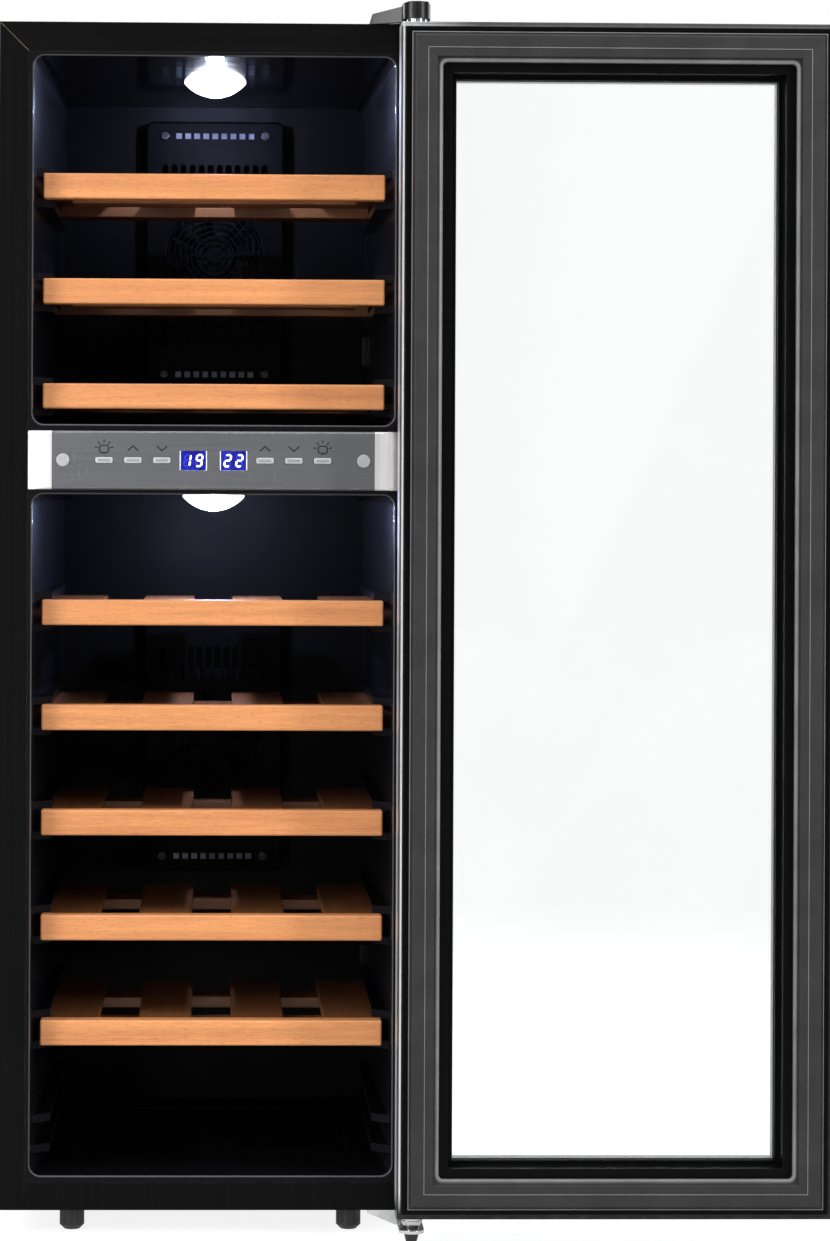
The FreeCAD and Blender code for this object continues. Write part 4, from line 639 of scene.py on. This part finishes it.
def addStroke(bm, path, width, front, back, closed=False):  # a drawn line as a thin mitred body
    count = len(path)
    sides = []
    for i, point in enumerate(path):
        before = Vector(path[(i - 1) % count]) if closed or i else None
        after = Vector(path[(i + 1) % count]) if closed or i < count - 1 else None
        here = Vector(point)
        first = (here - before).normalized() if before is not None else (after - here).normalized()
        second = (after - here).normalized() if after is not None else first
        tangent = (first + second).normalized()
        across = Vector((-tangent.y, tangent.x))
        reach = width / 2 / max(0.4, across.dot(Vector((-first.y, first.x))))
        sides.append((here + across * reach, here - across * reach))
    rows = [[bm.verts.new((p.x, y, p.y)) for p, y in ((a, front), (b, front), (b, back), (a, back))]
            for a, b in sides]
    for i in range(count if closed else count - 1):
        one, two = rows[i], rows[(i + 1) % count]
        for k in range(4):
            bm.faces.new((one[k], one[(k + 1) % 4], two[(k + 1) % 4], two[k]))
    if not closed:
        bm.faces.new(rows[0][::-1])
        bm.faces.new(rows[-1])


def roundedOutline(halfWidth, halfHeight, radius, centre, steps=5):
    outline = []
    for turn, (sx, sz) in enumerate(((1, 1), (-1, 1), (-1, -1), (1, -1))):
        for step in range(steps + 1):
            angle = math.radians(90 * turn + 90 * step / steps)
            outline.append((centre[0] + sx * (halfWidth - radius) + radius * math.cos(angle),
                            centre[1] + sz * (halfHeight - radius) + radius * math.sin(angle)))
    return outline


# Signs over the buttons
signs = {
    "rise": 0.0096,  # above the middle of the buttons
    "line": 0.0011,
    "proud": 0.00006,
    "sunk": 0.0001,  # depth of the print's back below the face
    "bulbDrop": 0.0006,
    "bulbRound": 0.0017,
    "bulbSteps": 3,
    "footHalf": (0.0014, 0.0007),  # half widths of the lamp's cap, at its top and bottom
    "footHeight": 0.0011,
    "footProud": 0.00002,
    "chevronHalf": 0.0042,
    "chevronHeight": 0.0038,
    "bulbHalf": 0.0036,
    "bulbHeight": 0.0029,
    "rayStart": 0.0051,
    "rayEnd": 0.0077,
    "rayThin": 0.9,  # a ray's width as a share of the line
    "rayAngles": (12, 50, 90, 130, 168),
}
buttonSigns = {
    "upper_lamp_button": "lamp", "upper_warmer_button": "up", "upper_cooler_button": "down",
    "lower_warmer_button": "up", "lower_cooler_button": "down", "lower_lamp_button": "lamp",
}


def drawSign(bm, kind, x, z):
    front, back = faceY - signs["proud"], faceY + signs["sunk"]
    if kind == "lamp":
        middle = Vector((x, z - signs["bulbDrop"]))
        bulb = roundedOutline(signs["bulbHalf"], signs["bulbHeight"], signs["bulbRound"], middle,
                              signs["bulbSteps"])
        addStroke(bm, bulb, signs["line"], front, back, closed=True)
        foot = middle.y - signs["bulbHeight"]
        wide, narrow = signs["footHalf"]
        addPlate(bm, [(x - wide, foot), (x + wide, foot), (x + narrow, foot - signs["footHeight"]),
                      (x - narrow, foot - signs["footHeight"])], front - signs["footProud"], back)
        for angle in signs["rayAngles"]:
            way = Vector((math.cos(math.radians(angle)), math.sin(math.radians(angle))))
            ends = [tuple(middle + way * signs["rayStart"]), tuple(middle + way * signs["rayEnd"])]
            addStroke(bm, ends, signs["line"] * signs["rayThin"], front, back)
    else:
        tip = signs["chevronHeight"] / 2 * (1 if kind == "up" else -1)
        path = [(x - signs["chevronHalf"], z - tip), (x, z + tip), (x + signs["chevronHalf"], z - tip)]
        addStroke(bm, path, signs["line"], front, back)


def makeSigns():
    bm = bmesh.new()
    for name, kind in buttonSigns.items():
        low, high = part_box(name)
        drawSign(bm, kind, (low.x + high.x) / 2, (low.z + high.z) / 2 + signs["rise"])
    return finishMesh(bm, "panelSigns", panelPrint, "cabinet")


# A shallow brushed pad let into each button's face
buttonPad = {"halfWidth": 0.0051, "halfHeight": 0.0012, "radius": 0.0009, "proud": 0.00004, "sunk": 0.0003}


def makeButtonPads():
    for name in buttonSigns:
        low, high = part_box(name)
        centre = ((low.x + high.x) / 2, (low.z + high.z) / 2)
        bm = bmesh.new()
        outline = roundedOutline(buttonPad["halfWidth"], buttonPad["halfHeight"], buttonPad["radius"],
                                 centre)
        addPlate(bm, outline, low.y - buttonPad["proud"], low.y + buttonPad["sunk"])
        padName = name.replace("_button", "_button_pad")
        finishMesh(bm, padName, materials["pad_metal"], name)


# Seven-segment numbers
digits = {
    "height": 0.0104,
    "width": 0.0058,
    "bar": 0.0014,
    "gap": 0.00022,
    "slant": 0.14,
    "offset": 0.0047,  # window's middle to a digit's middle
    "pane": 0.0216,  # width of one window
    "proud": 0.00004,
    "sunk": 0.0002,
    "rim": 0.0003,  # half the width of a bright side edge
}
barsOf = {"1": "bc", "2": "abged", "9": "abcdfg"}


def segmentOutline(bar):
    halfWide, halfTall = digits["width"] / 2, digits["height"] / 2
    reach, thick = digits["gap"], digits["bar"] / 2
    ends = {
        "a": ((-halfWide, halfTall), (halfWide, halfTall)), "g": ((-halfWide, 0), (halfWide, 0)),
        "d": ((-halfWide, -halfTall), (halfWide, -halfTall)),
        "f": ((-halfWide, halfTall), (-halfWide, 0)),
        "b": ((halfWide, halfTall), (halfWide, 0)), "e": ((-halfWide, 0), (-halfWide, -halfTall)),
        "c": ((halfWide, 0), (halfWide, -halfTall)),
    }[bar]
    start, end = Vector(ends[0]), Vector(ends[1])
    inward = digits["bar"] / 2
    start, end = (Vector((p.x - math.copysign(inward, p.x),
                          p.y - (math.copysign(inward, p.y) if p.y else 0))) for p in (start, end))
    along = (end - start).normalized()
    across = Vector((-along.y, along.x)) * thick
    start, end = start + along * reach, end - along * reach
    shape = [start, start + along * thick + across, end - along * thick + across,
             end, end - along * thick - across, start + along * thick - across]
    return [(p.x + p.y * digits["slant"], p.y) for p in shape]


def makeNumbers():
    windowLow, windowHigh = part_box("display_windows")
    middleZ = (windowLow.z + windowHigh.z) / 2
    front, back = windowLow.y - digits["proud"], windowLow.y + digits["sunk"]
    for name, side, text in (("upper", -1, "19"), ("lower", 1, "22")):
        windowX = side * (windowHigh.x - digits["pane"] / 2)
        lit, dim = bmesh.new(), bmesh.new()
        for place, character in zip((-1, 1), text):
            x = windowX + place * digits["offset"]
            for bar in "abcdefg":
                outline = [(x + dx, middleZ + dz) for dx, dz in segmentOutline(bar)]
                target = lit if bar in barsOf[character] else dim
                addPlate(target, outline, front, back)
        finishMesh(lit, name + "Numbers", digitLight, "cabinet")
        finishMesh(dim, name + "DimBars", dimSegment, "cabinet")
        rim = bmesh.new()
        for edge in (-1, 1):
            x = windowX + edge * (digits["pane"] / 2 - digits["rim"])
            left, right = x - digits["rim"], x + digits["rim"]
            outline = [(left, windowLow.z), (right, windowLow.z),
                       (right, windowHigh.z), (left, windowHigh.z)]
            addPlate(rim, outline, front, back)
        finishMesh(rim, name + "WindowRim", rimGlow, "cabinet")


# Door gasket: a ribbed magnetic cushion between an outer fin and a soft inner lip
gasket = {
    "height": 0.0074,
    "ribPitch": 0.00115,
    "ribDepth": 0.00010,
    "seamHalf": 0.0003,
    "seamRise": 0.00014,
    "lipStart": 0.0212,  # from the gasket's outer edge
    "lipEnd": 0.0245,
    "lipRound": 0.0036,  # radius of the clear opening's corners
    "cornerSteps": 6,
}


def gasketProfile():  # (distance in from the outer edge, height off the door, 1 where the rubber is painted pale as a highlight)
    top = gasket["height"]
    points = [(0.0, 0.0, 0), (0.0, 0.0040, 1), (0.0003, 0.0046, 1), (0.0008, 0.0046, 0), (0.0011, 0.0040, 0),
              (0.0018, 0.0042, 0), (0.0026, top - 0.0010, 0), (0.0034, top - 0.0004, 0)]
    for low, high in ((0.0038, 0.0122), (0.0136, 0.0194)):
        steps = int((high - low) / gasket["ribPitch"])
        pitch = (high - low) / steps
        for i in range(steps):
            x = low + (i + 0.5) * pitch
            points += [(x - pitch * 0.32, top - 0.0003, 0), (x, top - 0.0003 - gasket["ribDepth"], 0),
                       (x + pitch * 0.32, top - 0.0003, 0)]
        if high < 0.013:
            points += [(0.0124, top - 0.0003, 0), (0.0125, top, 1), (0.0131, top, 0),
                       (0.0132, top - 0.0003, 0)]
    points += [(0.0198, top - 0.0005, 0), (0.0204, top - 0.0014, 0), (0.0208, 0.0046, 0),
               (gasket["lipStart"], 0.0044, 1), (0.0220, 0.0051, 1), (0.0230, 0.0056, 1),
               (0.0239, 0.0054, 1), (0.0244, 0.0046, 1),
               (gasket["lipEnd"], 0.0034, 0), (gasket["lipEnd"], 0.0, 0)]
    return points


def cornerPoint(inset, angle):  # inwards along each of the two sides that meet in the corner
    if inset < gasket["lipStart"]:
        slide = gasket["seamHalf"] * (angle / math.radians(45) - 1)
        return inset + max(0.0, -slide), inset + max(0.0, slide)
    radius = gasket["lipRound"] + gasket["lipEnd"] - inset
    return inset + radius * (1 - math.sin(angle)), inset + radius * (1 - math.cos(angle))


def makeGasket():
    low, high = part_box("door_gasket")
    bm = bmesh.new()
    profile = gasketProfile()
    corners = [(low.x, low.z, 1, 1), (high.x, low.z, -1, 1),
               (high.x, high.z, -1, -1), (low.x, high.z, 1, -1)]
    rings = []
    for index, (x, z, inX, inZ) in enumerate(corners):
        for step in range(gasket["cornerSteps"] + 1):
            turn = step / gasket["cornerSteps"]
            angle = math.radians(90) * (turn if index % 2 else 1 - turn)
            ring = []
            for inset, height, _ in profile:
                alongX, alongZ = cornerPoint(inset, angle)
                middle = step * 2 == gasket["cornerSteps"] and inset < gasket["lipStart"] and height > 0.0005
                lift = min(gasket["seamRise"], gasket["height"] - height) if middle else 0.0
                ring.append(bm.verts.new((x + inX * alongX, high.y - height - lift, z + inZ * alongZ)))
            rings.append(ring)
    for i, ring in enumerate(rings):
        other = rings[(i + 1) % len(rings)]
        for k in range(len(profile)):
            n = (k + 1) % len(profile)
            face = bm.faces.new((ring[k], ring[n], other[n], other[k]))
            face.material_index = profile[k][2]
    piece = finishMesh(bm, "doorGasket", materials["gasket_rubber"], "door", 28)
    piece.data.materials.append(materials["gasket_lip"])
    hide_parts("door_gasket")
    return piece


# A strip of filter mesh behind each row of square vents
ventFilter = {"halfWidth": 0.038, "halfHeight": 0.0045, "round": 0.001, "inset": 0.013,
              "start": 0.0027, "end": 0.0035}


def makeFilters():
    for zone in ("upper", "lower"):
        low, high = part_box(zone + "_fan_cover")
        for end, middle in (("Top", high.z - ventFilter["inset"]), ("Bottom", low.z + ventFilter["inset"])):
            bm = bmesh.new()
            outline = roundedOutline(ventFilter["halfWidth"], ventFilter["halfHeight"],
                                     ventFilter["round"], (0.0, middle), 2)
            addPlate(bm, outline, low.y + ventFilter["start"], low.y + ventFilter["end"])
            finishMesh(bm, zone + end + "Filter", materials["filter_mesh"], "cabinet")


makeSigns()
makeButtonPads()
makeNumbers()
makeFilters()
makeGasket()


# Floor, backdrop and light
stage = {
    "floorHalf": 14.0,
    "fade": (0.4, 2.2),  # the floor turns from lit to plain white between these distances
    "background": 1.0,
    "dome": 0.28,
    "mirrored": 0.4,  # how much of the dome reflections show
}


def makeFloor():
    bm = bmesh.new()
    half = stage["floorHalf"]
    corners = ((-half, -half), (half, -half), (half, half), (-half, half))
    bm.faces.new([bm.verts.new((x, y, 0.0)) for x, y in corners])
    mesh = bpy.data.meshes.new("floor")
    bm.to_mesh(mesh)
    bm.free()
    material, tree, shader = startMaterial("paleFloor", Roughness=0.6, Specular_IOR_Level=0.0)
    far = put(tree, "ShaderNodeVectorMath", {0: objectPlace(tree)}, operation="LENGTH").outputs["Value"]
    speckle = remap(tree, noise(tree, objectPlace(tree), 60.0, 4.0), 0.3, 0.7, 0.9, 1.0)
    nearEdge, farEdge = stage["fade"]
    near = calc(tree, "MULTIPLY", remap(tree, far, nearEdge, farEdge, 0.30, 0.0), speckle)
    feed(tree, shader, Base_Color=blendColor(tree, near, (0.0, 0.0, 0.0, 1), (1.0, 1.0, 1.0, 1)))
    path = put(tree, "ShaderNodeLightPath").outputs
    seen = calc(tree, "MAXIMUM", path["Is Camera Ray"], path["Is Transmission Ray"])
    pale = remap(tree, far, nearEdge, farEdge, 0.86, 1.0)
    unseen = remap(tree, path["Is Glossy Ray"], 0.0, 1.0, 0.12, 0.6)
    shader.inputs["Emission Color"].default_value = (1, 1, 1, 1)
    feed(tree, shader, Emission_Strength=choose(tree, seen, unseen, pale))
    mesh.materials.append(material)
    floor = bpy.data.objects.new("floor", mesh)
    bpy.context.scene.collection.objects.link(floor)


def makeWorld():
    world = bpy.data.worlds.new("studio")
    bpy.context.scene.world = world
    world.use_nodes = True
    tree = world.node_tree
    tree.nodes.clear()
    way = partsOf(tree, put(tree, "ShaderNodeTexCoord").outputs["Generated"])
    rise = remap(tree, way["Z"], -0.3, 0.9, stage["dome"] * 0.8, stage["dome"] * 2.2)
    slope = calc(tree, "ADD", calc(tree, "MULTIPLY", way["X"], 2.2), calc(tree, "MULTIPLY", way["Z"], -0.98))
    paleCard = remap(tree, way["X"], 0.067, 0.105, 0.0, 0.87)
    beyond = remap(tree, slope, 0.244, 0.252)
    card = choose(tree, beyond, paleCard, 0.3)
    ahead = calc(tree, "LESS_THAN", way["Y"], -0.7)
    card = calc(tree, "MULTIPLY", ahead, card)  # a pale card whose slanting edge the door glass mirrors
    path = put(tree, "ShaderNodeLightPath").outputs
    seen = calc(tree, "MAXIMUM", path["Is Camera Ray"], path["Is Transmission Ray"])
    mirrored = remap(tree, path["Is Glossy Ray"], 0.0, 1.0, 1.0, stage["mirrored"])
    strength = calc(tree, "ADD", calc(tree, "MULTIPLY", rise, mirrored), card)
    dim = put(tree, "ShaderNodeBackground", {"Color": (0.96, 0.98, 1.0, 1), "Strength": strength})
    white = put(tree, "ShaderNodeBackground", {"Color": (1, 1, 1, 1), "Strength": stage["background"]})
    mixed = put(tree, "ShaderNodeMixShader", {0: seen, 1: dim.outputs[0], 2: white.outputs[0]})
    output = put(tree, "ShaderNodeOutputWorld")
    tree.links.new(mixed.outputs[0], output.inputs["Surface"])


def addLight(name, kind, place, target, power, size, color=(1, 1, 1)):
    light = bpy.data.lights.new(name, kind)
    light.energy = power
    light.color = color
    if kind == "AREA":
        light.shape = "RECTANGLE"
        light.size, light.size_y = size
    else:
        light.shadow_soft_size = size
    lamp = bpy.data.objects.new(name, light)
    lamp.location = place
    lamp.rotation_euler = (Vector(target) - Vector(place)).to_track_quat("-Z", "Y").to_euler()
    bpy.context.scene.collection.objects.link(lamp)
    return lamp


areaLights = (  # name, place, target, watts, size
    ("keyLeft", (-2.1, -2.0, 1.25), (0.0, -0.15, 0.5), 62.0, (0.9, 2.0)),
    ("keyRight", (2.4, -2.1, 1.2), (0.1, -0.15, 0.5), 48.0, (0.5, 2.0)),
    ("overhead", (0.2, -0.9, 3.2), (0.1, -0.1, 0.4), 60.0, (2.4, 1.6)),
    ("backLeft", (-2.2, 2.4, 1.6), (0.0, 0.1, 0.5), 45.0, (1.4, 2.0)),
    ("backRight", (2.6, 2.0, 1.6), (0.1, 0.1, 0.5), 45.0, (1.4, 2.0)),
    ("stripLeft", (-0.86, -3.0, 0.75), (0.0, -0.23, 0.6), 9.0, (0.30, 1.4)),
)
zoneGlow = {"drop": 0.004, "power": 1.2, "size": 0.006, "color": (0.50, 0.60, 1.0)}


def makeLights():
    for name, place, target, power, size in areaLights:
        addLight(name, "AREA", place, target, power, size)
    for zone in ("upper", "lower"):
        low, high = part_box(zone + "_lamp_lens")
        place = ((low.x + high.x) / 2, (low.y + high.y) / 2, low.z - zoneGlow["drop"])
        addLight(zone + "Glow", "POINT", place, (0, 0, 0), zoneGlow["power"], zoneGlow["size"],
                 zoneGlow["color"])


cameraSetup = {
    "place": (0.003, -3.143, 0.5915),
    "lens": 105.36,
    "yaw": -1.357,  # degrees, the rest of the sideways framing is shift
    "roll": 0.25,
    "shift": (0.0902, -0.0979),
}


def makeCamera():
    data = bpy.data.cameras.new("camera")
    data.lens = cameraSetup["lens"]
    data.shift_x, data.shift_y = cameraSetup["shift"]
    data.clip_end = 60.0
    camera = bpy.data.objects.new("camera", data)
    turns = ((cameraSetup["yaw"], "Z"), (90, "X"), (cameraSetup["roll"], "Z"))
    yaw, level, roll = (Matrix.Rotation(math.radians(angle), 4, axis) for angle, axis in turns)
    camera.matrix_world = Matrix.Translation(cameraSetup["place"]) @ (yaw @ level @ roll)
    bpy.context.scene.collection.objects.link(camera)
    bpy.context.scene.camera = camera


makeFloor()
makeWorld()
makeLights()
makeCamera()
bpy.context.scene.view_settings.view_transform = "Standard"
print("stage, lights and camera set")
